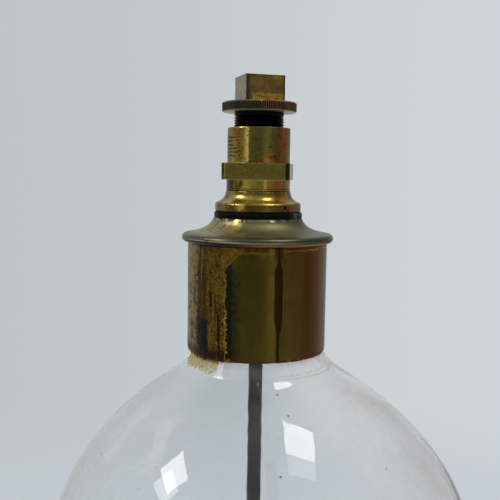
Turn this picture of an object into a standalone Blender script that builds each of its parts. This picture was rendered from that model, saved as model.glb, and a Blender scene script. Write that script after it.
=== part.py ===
"""Glass-globe oil lamp: a blown reservoir, a cemented brass collar, a screwed burner and its stopper.

Metres, +Z up. The origin is the middle of the globe's footprint, on the surface it stands on.
All the brass work turns about one upright axis, which stands a little to the left of the
middle of the globe, because the globe was blown slightly off the line of its neck.
"""

import math

import bmesh
import bpy
from mathutils import Matrix

# Driving dimensions
GAP = 0.0003            # room left between pieces that touch
THREAD_PITCH = 0.000977  # 26 threads to the inch
AXIS_X = -0.0039        # the brass axis, to the left of the globe's middle

# Heights above the table, bottom to top
GLOBE_EQUATOR = 0.0765
NECK_FOOT = 0.1664
FLARE_TOP = 0.1743
COLLAR_BOTTOM = 0.1722
COLLAR_TOP = 0.2131
RIM_CENTRE = 0.2151
CAP_TOP = 0.2226
FOOT_BOTTOM = 0.2250
FOOT_TOP = 0.2328
BAND_BOTTOM = 0.2369
BAND_TOP = 0.2430
BARREL_TOP = 0.2562
FLANGE_BOTTOM = 0.2620
FLANGE_TOP = 0.2655
HEAD_TOP = 0.2753

# Globe
GLOBE_RADIUS = 0.0855
SHOULDER_SLOPE = math.radians(40.5)
SHOULDER_PULL = 0.0121
EQUATOR_PULL = 0.0598
NECK_RADIUS = 0.0233
NECK_FOOT_RADIUS = 0.0286
NECK_FOOT_BEND = 0.0019
LEAN_POWER = 0.53
LIP_TOP = 0.2135
FOOT_RING_OUTER = 0.0380
FOOT_RING_INNER = 0.0310
PUNT_HEIGHT = 0.0060
WALL_NECK = 0.0024
WALL_SIDE = 0.0021
WALL_FLOOR = 0.0032
GLOBE_SEGMENTS = 48

# Collar and cap
COLLAR_RADIUS = 0.0265
COLLAR_WALL = 0.0009
CAP_SHEET = 0.0008
CAP_HOLE = 0.0123
CAP_SHOULDER = 0.0165
RIM_RADIUS = 0.0016
RIM_RING = 0.02718
RIM_WIRE_RADIUS = 0.0005

# Burner
WASHER_RADIUS = 0.0165
FOOT_RADIUS = 0.0163
SPIGOT_RADIUS = 0.0085
SPIGOT_BOTTOM = 0.2140
BARREL_RADIUS = 0.01185
WAIST_RADIUS = 0.01207
BAND_SIDE = 0.0251
BAND_CORNER_RADIUS = 0.0168
BAND_TURN = math.radians(-6.3)
WELL_RADIUS = 0.0096
WELL_FLOOR = 0.2432
BARREL_SPIGOT_RADIUS = 0.0090
BARREL_SPIGOT_BOTTOM = 0.2275
VENT_RADIUS = 0.0006
VENT_OFFSET = 0.0070
TUBE_RADIUS = 0.0027
TUBE_BORE = 0.0023
TUBE_BOTTOM = 0.0240
TUBE_TOP = 0.2540
WICK_RADIUS = 0.0020
WICK_BOTTOM = 0.0130
WICK_TOP = 0.2585
NUT_ACROSS_FLATS = 0.0110
NUT_BOTTOM = 0.2095
GLAND_RADIUS = 0.0046
GLAND_TOP = 0.2175

# Stopper
THREAD_RADIUS = 0.0095
THREAD_DEPTH = 0.0005
SHANK_BOTTOM = 0.2470
SHANK_THREAD_TOP = 0.2596
SHANK_NECK_RADIUS = 0.0067
SHANK_HOLLOW_RADIUS = 0.0042
SHANK_HOLLOW_TOP = 0.2625
SHANK_TENON_RADIUS = 0.0050
SHANK_TENON_TOP = 0.2700
STOPPER_WASHER_RADIUS = 0.0093
FLANGE_RADIUS = 0.01403
KNURL_TEETH = 110
KNURL_DEPTH = 0.00025
HEAD_SIDE = 0.0150
HEAD_TURN = math.radians(17.0)
HEAD_BEVEL = 0.0003

ROUND_SEGMENTS = 48
SMALL_SEGMENTS = 24
SHARP_ANGLE = math.radians(35)


# Scene and helpers

def clear_scene():
    for obj in list(bpy.data.objects):
        bpy.data.objects.remove(obj, do_unlink=True)


def new_collection(name):
    collection = bpy.data.collections.new(name)
    bpy.context.scene.collection.children.link(collection)
    return collection


def new_material(name, colour, roughness, metallic=0.0, transmission=0.0):
    material = bpy.data.materials.new(name)
    material.use_nodes = True
    shader = material.node_tree.nodes["Principled BSDF"]
    shader.inputs["Base Color"].default_value = (*colour, 1.0)
    shader.inputs["Roughness"].default_value = roughness
    shader.inputs["Metallic"].default_value = metallic
    shader.inputs["Transmission Weight"].default_value = transmission
    material.diffuse_color = (*colour, 1.0)
    return material


def new_axis(name, parent=None):
    """An empty on the brass axis that the pieces turning about it hang from."""
    axis = bpy.data.objects.new(name, None)
    LAMP.objects.link(axis)
    if parent is None:
        axis.location.x = AXIS_X
    axis.parent = parent
    return axis


def add_object(name, mesh, collection, parent=None, material=None):
    obj = bpy.data.objects.new(name, mesh)
    collection.objects.link(obj)
    obj.parent = parent
    if material is not None:
        mesh.materials.append(material)
    if collection is CUTTERS:
        obj.hide_render = True
        obj.display_type = "WIRE"
    return obj


def arc(centre, radius, start, end, steps):
    """Points (r, z) along a circle, with the angles in degrees from +r towards +z."""
    angles = [math.radians(start + (end - start) * i / steps) for i in range(steps + 1)]
    return [(centre[0] + radius * math.cos(a), centre[1] + radius * math.sin(a)) for a in angles]


def bezier(a, b, c, d, steps):
    """Points along a cubic curve from a to d, pulled towards b and c."""
    points = []
    for i in range(steps + 1):
        t = i / steps
        s = 1 - t
        weights = (s ** 3, 3 * s * s * t, 3 * s * t * t, t ** 3)
        points.append(tuple(sum(w * p[k] for w, p in zip(weights, (a, b, c, d))) for k in (0, 1)))
    return points


def normals(points):
    """The unit normal to the left of an outline's way, at each of its points."""
    found = []
    for i in range(len(points)):
        before = points[max(i - 1, 0)]
        after = points[min(i + 1, len(points) - 1)]
        along = (after[0] - before[0], after[1] - before[1])
        length = math.hypot(*along)
        found.append((-along[1] / length, along[0] / length))
    return found


def offset(points, distances):
    """The outline moved to the left of its way by a distance at each point."""
    return [
        (p[0] + n[0] * d, p[1] + n[1] * d)
        for p, n, d in zip(points, normals(points), distances)
    ]


def sheet_outline(centreline, thickness):
    """The closed outline of sheet metal bent along a centreline."""
    half = thickness / 2
    left = offset(centreline, [half] * len(centreline))
    right = offset(centreline, [-half] * len(centreline))
    return left + right[::-1]


def turned(name, outline, collection, parent=None, material=None, segments=ROUND_SEGMENTS):
    """A lathe-turned solid: an outline (r, z), closed or ending on the axis, swept about Z."""
    area = sum(a[0] * b[1] - b[0] * a[1] for a, b in zip(outline, outline[1:] + outline[:1]))
    if area > 0:
        outline = outline[::-1]
    closed = outline[0][0] > 0 or outline[-1][0] > 0
    edges = [(i, i + 1) for i in range(len(outline) - 1)]
    if closed:
        edges.append((len(outline) - 1, 0))
    mesh = bpy.data.meshes.new(name)
    mesh.from_pydata([(r, 0, z) for r, z in outline], edges, [])
    obj = add_object(name, mesh, collection, parent, material)
    screw = obj.modifiers.new("Turn", "SCREW")
    screw.steps = segments
    screw.render_steps = segments
    screw.use_merge_vertices = True
    screw.merge_threshold = 0.00001
    return obj


def ring(name, inner, outer, bottom, top, collection, parent=None, material=None,
         segments=ROUND_SEGMENTS, chamfer=0.0):
    """A flat-faced ring or tube, with its outer edges cut back by the chamfer."""
    outline = [(inner, top), (outer - chamfer, top)]
    if chamfer:
        outline += [(outer, top - chamfer), (outer, bottom + chamfer)]
    outline += [(outer - chamfer, bottom), (inner, bottom)]
    return turned(name, outline, collection, parent, material, segments)


def rod(name, radius, bottom, top, collection, parent=None, material=None,
        segments=SMALL_SEGMENTS):
    outline = [(0, top), (radius, top), (radius, bottom), (0, bottom)]
    return turned(name, outline, collection, parent, material, segments)


def prism(name, sides, across_flats, bottom, top, collection, parent=None, material=None,
          turn=0.0):
    """A bar with flat sides; at no turn one flat faces -Y."""
    mesh = bpy.data.meshes.new(name)
    shape = bmesh.new()
    corner = across_flats / 2 / math.cos(math.pi / sides)
    bmesh.ops.create_cone(shape, cap_ends=True, segments=sides, radius1=corner, radius2=corner,
                          depth=top - bottom)
    spin = Matrix.Rotation(turn + math.pi / sides, 4, "Z")
    bmesh.ops.transform(shape, matrix=Matrix.Translation((0, 0, (top + bottom) / 2)) @ spin,
                        verts=shape.verts)
    shape.to_mesh(mesh)
    shape.free()
    return add_object(name, mesh, collection, parent, material)


def combine(obj, operation, other):
    boolean = obj.modifiers.new(other.name, "BOOLEAN")
    boolean.operation = operation
    boolean.solver = "EXACT"
    boolean.object = other


def bevel(obj, width, segments=2):
    modifier = obj.modifiers.new("Bevel", "BEVEL")
    modifier.width = width
    modifier.segments = segments


def settle(collection):
    """Gives each piece its finished mesh, smooth where it is round and sharp at its edges."""
    bpy.context.view_layer.update()
    graph = bpy.context.evaluated_depsgraph_get()
    pieces = [obj for obj in collection.objects if obj.type == "MESH"]
    finished = {obj: bpy.data.meshes.new_from_object(obj.evaluated_get(graph)) for obj in pieces}
    for obj, mesh in finished.items():
        obj.modifiers.clear()
        obj.data = mesh
        mesh.name = obj.name
        mesh.shade_smooth()
        mesh.set_sharp_from_angle(angle=SHARP_ANGLE)


# Reservoir: the globe and the brass work cemented to its neck

def globe_side():
    """The outside of the globe from the neck's lip down to the punt's middle."""
    lip = arc((NECK_RADIUS - WALL_NECK / 2, LIP_TOP - WALL_NECK / 2), WALL_NECK / 2, 60, 0, 1)
    across, down = math.cos(SHOULDER_SLOPE), math.sin(SHOULDER_SLOPE)
    flare_length = math.hypot(NECK_FOOT_RADIUS - NECK_RADIUS, FLARE_TOP - NECK_FOOT)
    bend_share = NECK_FOOT_BEND / flare_length
    flare = [
        (NECK_RADIUS, FLARE_TOP),
        (NECK_FOOT_RADIUS - (NECK_FOOT_RADIUS - NECK_RADIUS) * bend_share,
         NECK_FOOT + (FLARE_TOP - NECK_FOOT) * bend_share),
    ]
    start = (NECK_FOOT_RADIUS + NECK_FOOT_BEND * across, NECK_FOOT - NECK_FOOT_BEND * down)
    shoulder = bezier(
        start,
        (start[0] + SHOULDER_PULL * across, start[1] - SHOULDER_PULL * down),
        (GLOBE_RADIUS, GLOBE_EQUATOR + EQUATOR_PULL),
        (GLOBE_RADIUS, GLOBE_EQUATOR),
        9,
    )
    belly = [
        (FOOT_RING_OUTER + (GLOBE_RADIUS - FOOT_RING_OUTER) * math.cos(a),
         GLOBE_EQUATOR * (1 - math.sin(a)))
        for a in (math.pi / 2 * i / 7 for i in range(8))
    ]
    punt = [
        (FOOT_RING_INNER * math.cos(a), PUNT_HEIGHT * math.sin(a))
        for a in (math.pi / 2 * i / 3 for i in range(3))
    ]
    return lip + flare + shoulder + belly[1:] + punt + [(0, PUNT_HEIGHT)]


def wall_thickness(z):
    """Thin at the belly, thicker at the neck and at the floor."""
    if z > GLOBE_EQUATOR:
        rise = min((z - GLOBE_EQUATOR) / (NECK_FOOT - GLOBE_EQUATOR), 1)
        return WALL_SIDE + (WALL_NECK - WALL_SIDE) * rise
    return WALL_FLOOR + (WALL_SIDE - WALL_FLOOR) * z / GLOBE_EQUATOR


def lean(z):
    """How far the globe's middle stands from its own line at a height: none below the equator."""
    fall = min(max((FLARE_TOP - z) / (FLARE_TOP - GLOBE_EQUATOR), 0), 1)
    return AXIS_X * (1 - fall ** LEAN_POWER)


def make_glass_globe(glass):
    outside = globe_side()
    inside = offset(outside, [-wall_thickness(z) for _, z in outside])
    inside = [(max(r, 0), z) for r, z in inside[1:]]
    inside[-1] = (0, PUNT_HEIGHT + WALL_FLOOR)
    globe = turned("glass_globe", outside + inside[::-1], LAMP, None, glass, GLOBE_SEGMENTS)
    settle_one = bpy.context.evaluated_depsgraph_get()
    globe.data = bpy.data.meshes.new_from_object(globe.evaluated_get(settle_one))
    globe.modifiers.clear()
    for vertex in globe.data.vertices:
        vertex.co.x += lean(vertex.co.z)


def make_neck_cement(plaster):
    inner = NECK_RADIUS + GAP
    outer = COLLAR_RADIUS - COLLAR_WALL - GAP
    bottom = COLLAR_BOTTOM + 0.0018
    outline = [
        (inner, COLLAR_TOP - 0.0006),
        (outer, COLLAR_TOP - 0.0006),
        (outer, bottom),
        (inner + 0.0009, bottom),
        (inner, bottom + 0.0048),
    ]
    turned("neck_cement", outline, LAMP, BRASS_AXIS, plaster)


def make_neck_gasket(cork):
    ring("neck_gasket", NECK_RADIUS - WALL_NECK + 0.0002, COLLAR_RADIUS - 0.0019,
         LIP_TOP + GAP, LIP_TOP + 0.0025, LAMP, BRASS_AXIS, cork)


def make_collar(brass):
    ring("collar", COLLAR_RADIUS - COLLAR_WALL, COLLAR_RADIUS, COLLAR_BOTTOM, COLLAR_TOP,
         LAMP, BRASS_AXIS, brass, chamfer=0.0003)


def make_collar_cap(brass):
    """Spun sheet: a flat seat, a hollow sweep down to the rim, and a rim curled about its wire."""
    half = CAP_SHEET / 2
    seat = [(CAP_HOLE, CAP_TOP - half)]
    rim_top = (RIM_RING, RIM_CENTRE + RIM_RADIUS - half)
    sweep = bezier((CAP_SHOULDER, CAP_TOP - half), (0.0178, 0.2187), (0.0214, 0.2173), rim_top, 5)
    curl = arc((RIM_RING, RIM_CENTRE), RIM_RADIUS - half, 90, -180, 6)
    centreline = seat + sweep + curl[1:]
    turned("collar_cap", sheet_outline(centreline, CAP_SHEET), LAMP, BRASS_AXIS, brass)


def make_rim_wire(iron):
    section = arc((RIM_RING, RIM_CENTRE), RIM_WIRE_RADIUS, 0, 300, 5)
    turned("rim_wire", section, LAMP, BRASS_AXIS, iron)


def make_cap_bush(brass):
    """The threaded boss soldered up through the cap's hole, with a flange below the sheet."""
    bore = SPIGOT_RADIUS + GAP
    neck = CAP_HOLE - GAP
    flange_top = CAP_TOP - CAP_SHEET - GAP
    flange_bottom = flange_top - 0.0020
    outline = [
        (bore, CAP_TOP),
        (neck, CAP_TOP),
        (neck, flange_top),
        (CAP_SHOULDER - 0.0012, flange_top),
        (CAP_SHOULDER - 0.0012, flange_bottom),
        (neck, flange_bottom),
        (neck, 0.2120),
        (bore, 0.2120),
    ]
    turned("cap_bush", outline, LAMP, BRASS_AXIS, brass)


# Burner: everything that unscrews from the cap in one piece

def make_burner_washer(leather):
    ring("burner_washer", SPIGOT_RADIUS + GAP, WASHER_RADIUS, CAP_TOP + GAP, FOOT_BOTTOM - GAP,
         LAMP, BRASS_AXIS, leather)


def make_burner_foot(brass):
    """The flared base, with the spigot that screws into the bush and a socket for the barrel."""
    flare = bezier((0.0123, FOOT_TOP), (0.0125, 0.2305), (0.0136, 0.2290), (0.0158, 0.2284), 6)
    outline = [
        (0, FOOT_TOP),
        *flare,
        (FOOT_RADIUS, 0.2277),
        (FOOT_RADIUS, FOOT_BOTTOM),
        (SPIGOT_RADIUS, FOOT_BOTTOM),
        (SPIGOT_RADIUS, SPIGOT_BOTTOM),
        (0, SPIGOT_BOTTOM),
    ]
    foot = turned("burner_foot", outline, LAMP, BURNER_AXIS, brass)
    socket = rod("foot_socket_cutter", BARREL_SPIGOT_RADIUS + GAP, BARREL_SPIGOT_BOTTOM - GAP,
                 FOOT_TOP + 0.001, CUTTERS, BURNER_AXIS, segments=ROUND_SEGMENTS)
    gland = rod("foot_gland_cutter", GLAND_RADIUS, SPIGOT_BOTTOM - 0.001, GLAND_TOP,
                CUTTERS, BURNER_AXIS)
    for cutter in (socket, gland, TUBE_BORE_CUTTER, VENT_CUTTER):
        combine(foot, "DIFFERENCE", cutter)


def make_burner_barrel(brass):
    """The upper body: a well threaded for the stopper, and a square band for a spanner."""
    edge = 0.0003
    outline = [
        (0, BARREL_TOP),
        (BARREL_RADIUS - edge, BARREL_TOP),
        (BARREL_RADIUS, BARREL_TOP - edge),
        (BARREL_RADIUS, BAND_TOP - 0.002),
        (WAIST_RADIUS, BAND_BOTTOM + 0.002),
        (WAIST_RADIUS, FOOT_TOP + GAP),
        (BARREL_SPIGOT_RADIUS, FOOT_TOP + GAP),
        (BARREL_SPIGOT_RADIUS, BARREL_SPIGOT_BOTTOM),
        (0, BARREL_SPIGOT_BOTTOM),
    ]
    barrel = turned("burner_barrel", outline, LAMP, BURNER_AXIS, brass)
    band = prism("barrel_band", 4, BAND_SIDE, BAND_BOTTOM, BAND_TOP, CUTTERS, BURNER_AXIS,
                 turn=BAND_TURN)
    bevel(band, 0.0001, 1)
    corners = rod("band_corner_cutter", BAND_CORNER_RADIUS, BAND_BOTTOM - 0.002,
                  BAND_TOP + 0.002, CUTTERS, BURNER_AXIS, segments=ROUND_SEGMENTS * 2)
    well = turned("barrel_well_cutter", [
        (0, BARREL_TOP + 0.001),
        (WELL_RADIUS + 0.0014, BARREL_TOP + 0.001),
        (WELL_RADIUS, BARREL_TOP - 0.0004),
        (WELL_RADIUS, WELL_FLOOR),
        (0, WELL_FLOOR),
    ], CUTTERS, BURNER_AXIS)
    combine(band, "INTERSECT", corners)
    combine(barrel, "UNION", band)
    for cutter in (well, TUBE_BORE_CUTTER, VENT_CUTTER):
        combine(barrel, "DIFFERENCE", cutter)


def make_wick_tube(iron):
    ring("wick_tube", TUBE_BORE, TUBE_RADIUS, TUBE_BOTTOM, TUBE_TOP, LAMP, BURNER_AXIS, iron,
         SMALL_SEGMENTS)


def make_wick(cotton):
    edge = 0.0005
    outline = [
        (0, WICK_TOP),
        (WICK_RADIUS - edge, WICK_TOP),
        (WICK_RADIUS, WICK_TOP - edge),
        (WICK_RADIUS, WICK_BOTTOM),
        (0, WICK_BOTTOM),
    ]
    turned("wick", outline, LAMP, BURNER_AXIS, cotton, SMALL_SEGMENTS)


def make_tube_packing(cotton):
    ring("tube_packing", TUBE_RADIUS + GAP, GLAND_RADIUS - GAP, GLAND_TOP - 0.0022,
         GLAND_TOP - GAP, LAMP, BURNER_AXIS, cotton, SMALL_SEGMENTS)


def make_tube_nut(brass):
    """The gland nut that grips the wick tube: a hexagon below, a nipple up inside the spigot."""
    shoulder = SPIGOT_BOTTOM - GAP
    nut = prism("tube_nut", 6, NUT_ACROSS_FLATS, NUT_BOTTOM, shoulder, LAMP, BURNER_AXIS, brass)
    bevel(nut, 0.0003, 1)
    nipple = rod("nut_nipple", GLAND_RADIUS - GAP, shoulder - 0.002, GLAND_TOP - 0.0025,
                 CUTTERS, BURNER_AXIS)
    combine(nut, "UNION", nipple)
    combine(nut, "DIFFERENCE", TUBE_BORE_CUTTER)


# Stopper: the plug that screws into the barrel's well

def make_stopper_washer(leather):
    ring("stopper_washer", SHANK_NECK_RADIUS + GAP, STOPPER_WASHER_RADIUS,
         SHANK_THREAD_TOP + GAP, FLANGE_BOTTOM - GAP, LAMP, BURNER_AXIS, leather)


def thread_ridges():
    """The thread's section down the side of the shank: a crest and a root at each pitch."""
    turns = int((SHANK_THREAD_TOP - SHANK_BOTTOM) / THREAD_PITCH)
    points = []
    for i in range(turns):
        z = SHANK_THREAD_TOP - (i + 0.5) * THREAD_PITCH
        points += [(THREAD_RADIUS, z), (THREAD_RADIUS - THREAD_DEPTH, z - THREAD_PITCH / 2)]
    return points


def make_threaded_shank(blackened):
    root = THREAD_RADIUS - THREAD_DEPTH
    outline = [
        (0, SHANK_TENON_TOP),
        (SHANK_TENON_RADIUS, SHANK_TENON_TOP),
        (SHANK_TENON_RADIUS, FLANGE_TOP),
        (SHANK_NECK_RADIUS, FLANGE_TOP),
        (SHANK_NECK_RADIUS, SHANK_THREAD_TOP),
        (root, SHANK_THREAD_TOP),
        *thread_ridges(),
        (root, SHANK_BOTTOM),
        (SHANK_HOLLOW_RADIUS, SHANK_BOTTOM),
        (SHANK_HOLLOW_RADIUS, SHANK_HOLLOW_TOP),
        (0, SHANK_HOLLOW_TOP),
    ]
    turned("threaded_shank", outline, LAMP, STOPPER_AXIS, blackened, SMALL_SEGMENTS)


def make_knurled_flange(brass):
    """A finger disc whose edge is cut with straight teeth all the way round."""
    steps = 2 * KNURL_TEETH
    flange = ring("knurled_flange", SHANK_NECK_RADIUS + GAP, FLANGE_RADIUS, FLANGE_BOTTOM,
                  FLANGE_TOP, LAMP, STOPPER_AXIS, brass, steps)
    graph = bpy.context.evaluated_depsgraph_get()
    flange.data = bpy.data.meshes.new_from_object(flange.evaluated_get(graph))
    flange.modifiers.clear()
    for vertex in flange.data.vertices:
        radius = math.hypot(vertex.co.x, vertex.co.y)
        tooth = round(math.atan2(vertex.co.y, vertex.co.x) / math.tau * steps)
        if radius > FLANGE_RADIUS - KNURL_DEPTH / 2 and tooth % 2:
            vertex.co.xy *= 1 - KNURL_DEPTH / radius


def make_square_head(brass):
    head = prism("square_head", 4, HEAD_SIDE, FLANGE_TOP + GAP, HEAD_TOP, LAMP, STOPPER_AXIS,
                 brass, turn=HEAD_TURN)
    bevel(head, HEAD_BEVEL)
    socket = rod("head_socket_cutter", SHANK_TENON_RADIUS + GAP, FLANGE_TOP - 0.001,
                 SHANK_TENON_TOP + GAP, CUTTERS, STOPPER_AXIS)
    combine(head, "DIFFERENCE", socket)


clear_scene()
LAMP = new_collection("oil_lamp")
CUTTERS = new_collection("cutters")
BRASS_AXIS = new_axis("brass_axis")
BURNER_AXIS = new_axis("burner_axis", BRASS_AXIS)
STOPPER_AXIS = new_axis("stopper_axis", BURNER_AXIS)
TUBE_BORE_CUTTER = rod("tube_bore_cutter", TUBE_RADIUS + GAP, NUT_BOTTOM - 0.002,
                       BARREL_TOP, CUTTERS, BURNER_AXIS)
VENT_CUTTER = rod("vent_cutter", VENT_RADIUS, SPIGOT_BOTTOM - 0.001, WELL_FLOOR + 0.001,
                  CUTTERS, BURNER_AXIS, segments=12)
VENT_CUTTER.location.x = VENT_OFFSET

make_glass_globe(new_material("clear_glass", (0.93, 0.96, 0.95), 0.03, transmission=1.0))
make_neck_cement(new_material("old_plaster", (0.78, 0.62, 0.28), 0.85))
make_neck_gasket(new_material("cork", (0.46, 0.30, 0.17), 0.9))
make_collar(new_material("tarnished_brass", (0.33, 0.21, 0.07), 0.42, 1.0))
make_collar_cap(new_material("dull_brass", (0.40, 0.34, 0.20), 0.38, 1.0))
make_rim_wire(new_material("iron_wire", (0.16, 0.15, 0.14), 0.6, 1.0))
make_cap_bush(new_material("bush_brass", (0.55, 0.41, 0.16), 0.4, 1.0))
make_burner_washer(new_material("black_leather", (0.015, 0.014, 0.013), 0.75))
make_burner_foot(new_material("foot_brass", (0.62, 0.43, 0.13), 0.28, 1.0))
make_burner_barrel(new_material("barrel_brass", (0.52, 0.38, 0.12), 0.30, 1.0))
make_wick_tube(new_material("dark_iron", (0.045, 0.044, 0.045), 0.6, 0.6))
make_wick(new_material("cotton", (0.72, 0.66, 0.54), 0.95))
make_tube_packing(new_material("packing", (0.50, 0.43, 0.32), 0.95))
make_tube_nut(new_material("nut_brass", (0.58, 0.42, 0.15), 0.4, 1.0))
make_stopper_washer(new_material("stopper_leather", (0.012, 0.012, 0.012), 0.8))
make_threaded_shank(new_material("blackened_thread", (0.02, 0.019, 0.018), 0.5, 0.5))
make_knurled_flange(new_material("flange_brass", (0.24, 0.16, 0.07), 0.4, 1.0))
make_square_head(new_material("head_brass", (0.40, 0.29, 0.12), 0.35, 1.0))
settle(LAMP)
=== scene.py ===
"""Looks of the glass-globe oil lamp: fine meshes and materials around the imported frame.

Metres, +Z up, in the frame's own axes. Angles round the brass work are in degrees from the
front (-Y), positive towards +X. Heights are above the table.
"""

import math

import bmesh
import bpy
import numpy as np
from mathutils import Matrix, Vector


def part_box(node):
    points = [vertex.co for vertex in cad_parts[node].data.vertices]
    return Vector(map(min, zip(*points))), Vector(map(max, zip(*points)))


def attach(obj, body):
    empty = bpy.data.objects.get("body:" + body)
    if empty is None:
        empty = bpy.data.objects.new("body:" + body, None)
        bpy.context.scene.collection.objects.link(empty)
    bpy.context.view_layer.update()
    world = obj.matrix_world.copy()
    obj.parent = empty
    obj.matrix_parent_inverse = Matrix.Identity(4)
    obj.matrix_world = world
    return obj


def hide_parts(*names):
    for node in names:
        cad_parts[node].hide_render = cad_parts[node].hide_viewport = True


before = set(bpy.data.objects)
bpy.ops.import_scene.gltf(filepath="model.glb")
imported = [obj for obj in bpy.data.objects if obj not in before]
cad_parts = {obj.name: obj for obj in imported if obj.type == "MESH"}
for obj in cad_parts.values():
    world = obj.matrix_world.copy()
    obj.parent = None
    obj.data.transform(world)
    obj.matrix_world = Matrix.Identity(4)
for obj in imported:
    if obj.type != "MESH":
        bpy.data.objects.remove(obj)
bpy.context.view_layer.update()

# Sizes that the frame's boxes don't give
THREAD_PITCH = 0.000977
THREAD_DEPTH = 0.0005
KNURL_TEETH = 110
SHEET = 0.0008
RIM_RADIUS = 0.0016

# Globe profile
NECK_FOOT = 0.1664
NECK_FOOT_RADIUS = 0.0286
NECK_FOOT_BEND = 0.0019
FLARE_TOP = 0.1743
SHOULDER_SLOPE = math.radians(40.5)
SHOULDER_PULL = 0.0121
EQUATOR = 0.0765
EQUATOR_PULL = 0.0598
NECK_RADIUS = 0.0233
LEAN_POWER = 0.53
FOOT_RING_OUTER = 0.038
FOOT_RING_INNER = 0.031
PUNT_HEIGHT = 0.006
WALL_NECK = 0.0024
WALL_SIDE = 0.0021
WALL_FLOOR = 0.0032

# Foot, barrel band and square head
FOOT_BOTTOM = 0.225
RIB_TOP = 0.22842
BAND_BOTTOM, BAND_TOP = 0.2369, 0.243
BAND_HALF = 0.01255
BAND_CORNER = 0.0168
BAND_TURN = math.radians(-6.3)
HEAD_TURN = 17.0

SHARP = math.radians(38)


def span(node):
    """(radius, bottom, top) of a turned node."""
    low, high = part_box(node)
    return (high.x - low.x) / 2, low.z, high.z


LOW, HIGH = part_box("collar")
AXIS_X = (LOW.x + HIGH.x) / 2
GLOBE_RADIUS = span("glass_globe")[0]
LIP_TOP = span("glass_globe")[2]
COLLAR_RADIUS, COLLAR_BOTTOM, COLLAR_TOP = span("collar")
CAP_RADIUS, CAP_BOTTOM, CAP_TOP = span("collar_cap")
WASHER_RADIUS, WASHER_BOTTOM, WASHER_TOP = span("burner_washer")
FOOT_RADIUS, SPIGOT_BOTTOM, FOOT_TOP = span("burner_foot")
BARREL_TOP = span("burner_barrel")[2]
SHANK_RADIUS, SHANK_BOTTOM, SHANK_TOP = span("threaded_shank")
RING_RADIUS, RING_BOTTOM, RING_TOP = span("stopper_washer")
FLANGE_RADIUS, FLANGE_BOTTOM, FLANGE_TOP = span("knurled_flange")
HEAD_TOP = span("square_head")[2]
TUBE_RADIUS, TUBE_BOTTOM, TUBE_TOP = span("wick_tube")
WICK_BOTTOM, WICK_TOP = span("wick")[1:]


# Outlines (r, z) and meshes

def arc(centre, radius, start, end, steps):
    """Points on a circle, from one angle to another in degrees from +r towards +z."""
    angles = np.radians(np.linspace(start, end, steps + 1))
    return [(centre[0] + radius * math.cos(a), centre[1] + radius * math.sin(a)) for a in angles]


def bezier(a, b, c, d, steps):
    """Points along a cubic curve from a to d, pulled towards b and c."""
    t = np.linspace(0, 1, steps + 1)[:, None]
    a, b, c, d = (np.array(p) for p in (a, b, c, d))
    points = (1 - t) ** 3 * a + 3 * (1 - t) ** 2 * t * b + 3 * (1 - t) * t ** 2 * c + t ** 3 * d
    return [tuple(p) for p in points]


def offset(points, distances):
    """The outline moved to the left of its way by a distance at each point."""
    points = np.array(points)
    along = np.gradient(points, axis=0)
    along /= np.linalg.norm(along, axis=1)[:, None]
    normal = np.stack([-along[:, 1], along[:, 0]], axis=1)
    return [tuple(p) for p in points + normal * np.array(distances)[:, None]]


def sheet_outline(centreline, thickness):
    """The closed outline of a sheet of even thickness."""
    half = [thickness / 2] * len(centreline)
    return offset(centreline, half) + offset(centreline, [-h for h in half])[::-1]


def rounded(outline, radius, steps=3, closed=True):
    """The outline with its corners rounded off."""
    points = [np.array(p) for p in outline]
    result = []
    count = len(points)
    for i, corner in enumerate(points):
        if not closed and i in (0, count - 1):
            result.append(tuple(corner))
            continue
        before = points[i - 1] - corner
        after = points[(i + 1) % count] - corner
        reach = min(radius, 0.45 * np.linalg.norm(before), 0.45 * np.linalg.norm(after))
        a = corner + before / np.linalg.norm(before) * reach
        b = corner + after / np.linalg.norm(after) * reach
        for t in np.linspace(0, 1, steps + 1):
            result.append(tuple((1 - t) ** 2 * a + 2 * (1 - t) * t * corner + t * t * b))
    return result


def fine(outline, step, closed=True):
    """The outline with its long runs divided, so that a surface can be dented."""
    result = []
    count = len(outline)
    for i in range(count if closed else count - 1):
        a, b = np.array(outline[i]), np.array(outline[(i + 1) % count])
        parts = max(1, int(np.linalg.norm(b - a) / step))
        result += [tuple(a + (b - a) * k / parts) for k in range(parts)]
    if not closed:
        result.append(outline[-1])
    return result


def add_object(name, data):
    added = bpy.data.objects.new(name, data)
    bpy.context.scene.collection.objects.link(added)
    return added


def new_piece(name, mesh, material, body, slot, *replaced):
    """A visible piece that rides on a body, in place of the CAD nodes named."""
    mesh.materials.append(material)
    piece = add_object(name, mesh)
    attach(piece, body)
    if replaced:
        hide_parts(*replaced)


def lathe(outline, segments, shape=None, axis_x=None):
    """A turned mesh. Its outer side runs down the outline. shape(r, z, angle) may reshape it."""
    closed = outline[0][0] > 0 or outline[-1][0] > 0
    theta = np.arange(segments) * math.tau / segments
    rows, vertices = [], []
    for r, z in outline:
        if r <= 0:
            rows.append([len(vertices)] * segments)
            vertices.append((0.0, 0.0, z))
            continue
        radii, heights = np.full(segments, r), np.full(segments, z)
        if shape is not None:
            radii, heights = shape(radii, heights, theta)
        rows.append(list(range(len(vertices), len(vertices) + segments)))
        vertices += zip(radii * np.cos(theta), radii * np.sin(theta), heights)
    faces = []
    for i in range(len(rows) if closed else len(rows) - 1):
        upper, lower = rows[i], rows[(i + 1) % len(rows)]
        for j in range(segments):
            k = (j + 1) % segments
            face = [upper[j], lower[j], lower[k], upper[k]]
            faces.append(list(dict.fromkeys(face)))
    mesh = bpy.data.meshes.new("turned")
    shift = AXIS_X if axis_x is None else axis_x
    mesh.from_pydata([(float(x) + shift, float(y), float(z)) for x, y, z in vertices], [], faces)
    mesh.shade_smooth()
    mesh.set_sharp_from_angle(angle=SHARP)
    return mesh


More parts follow.
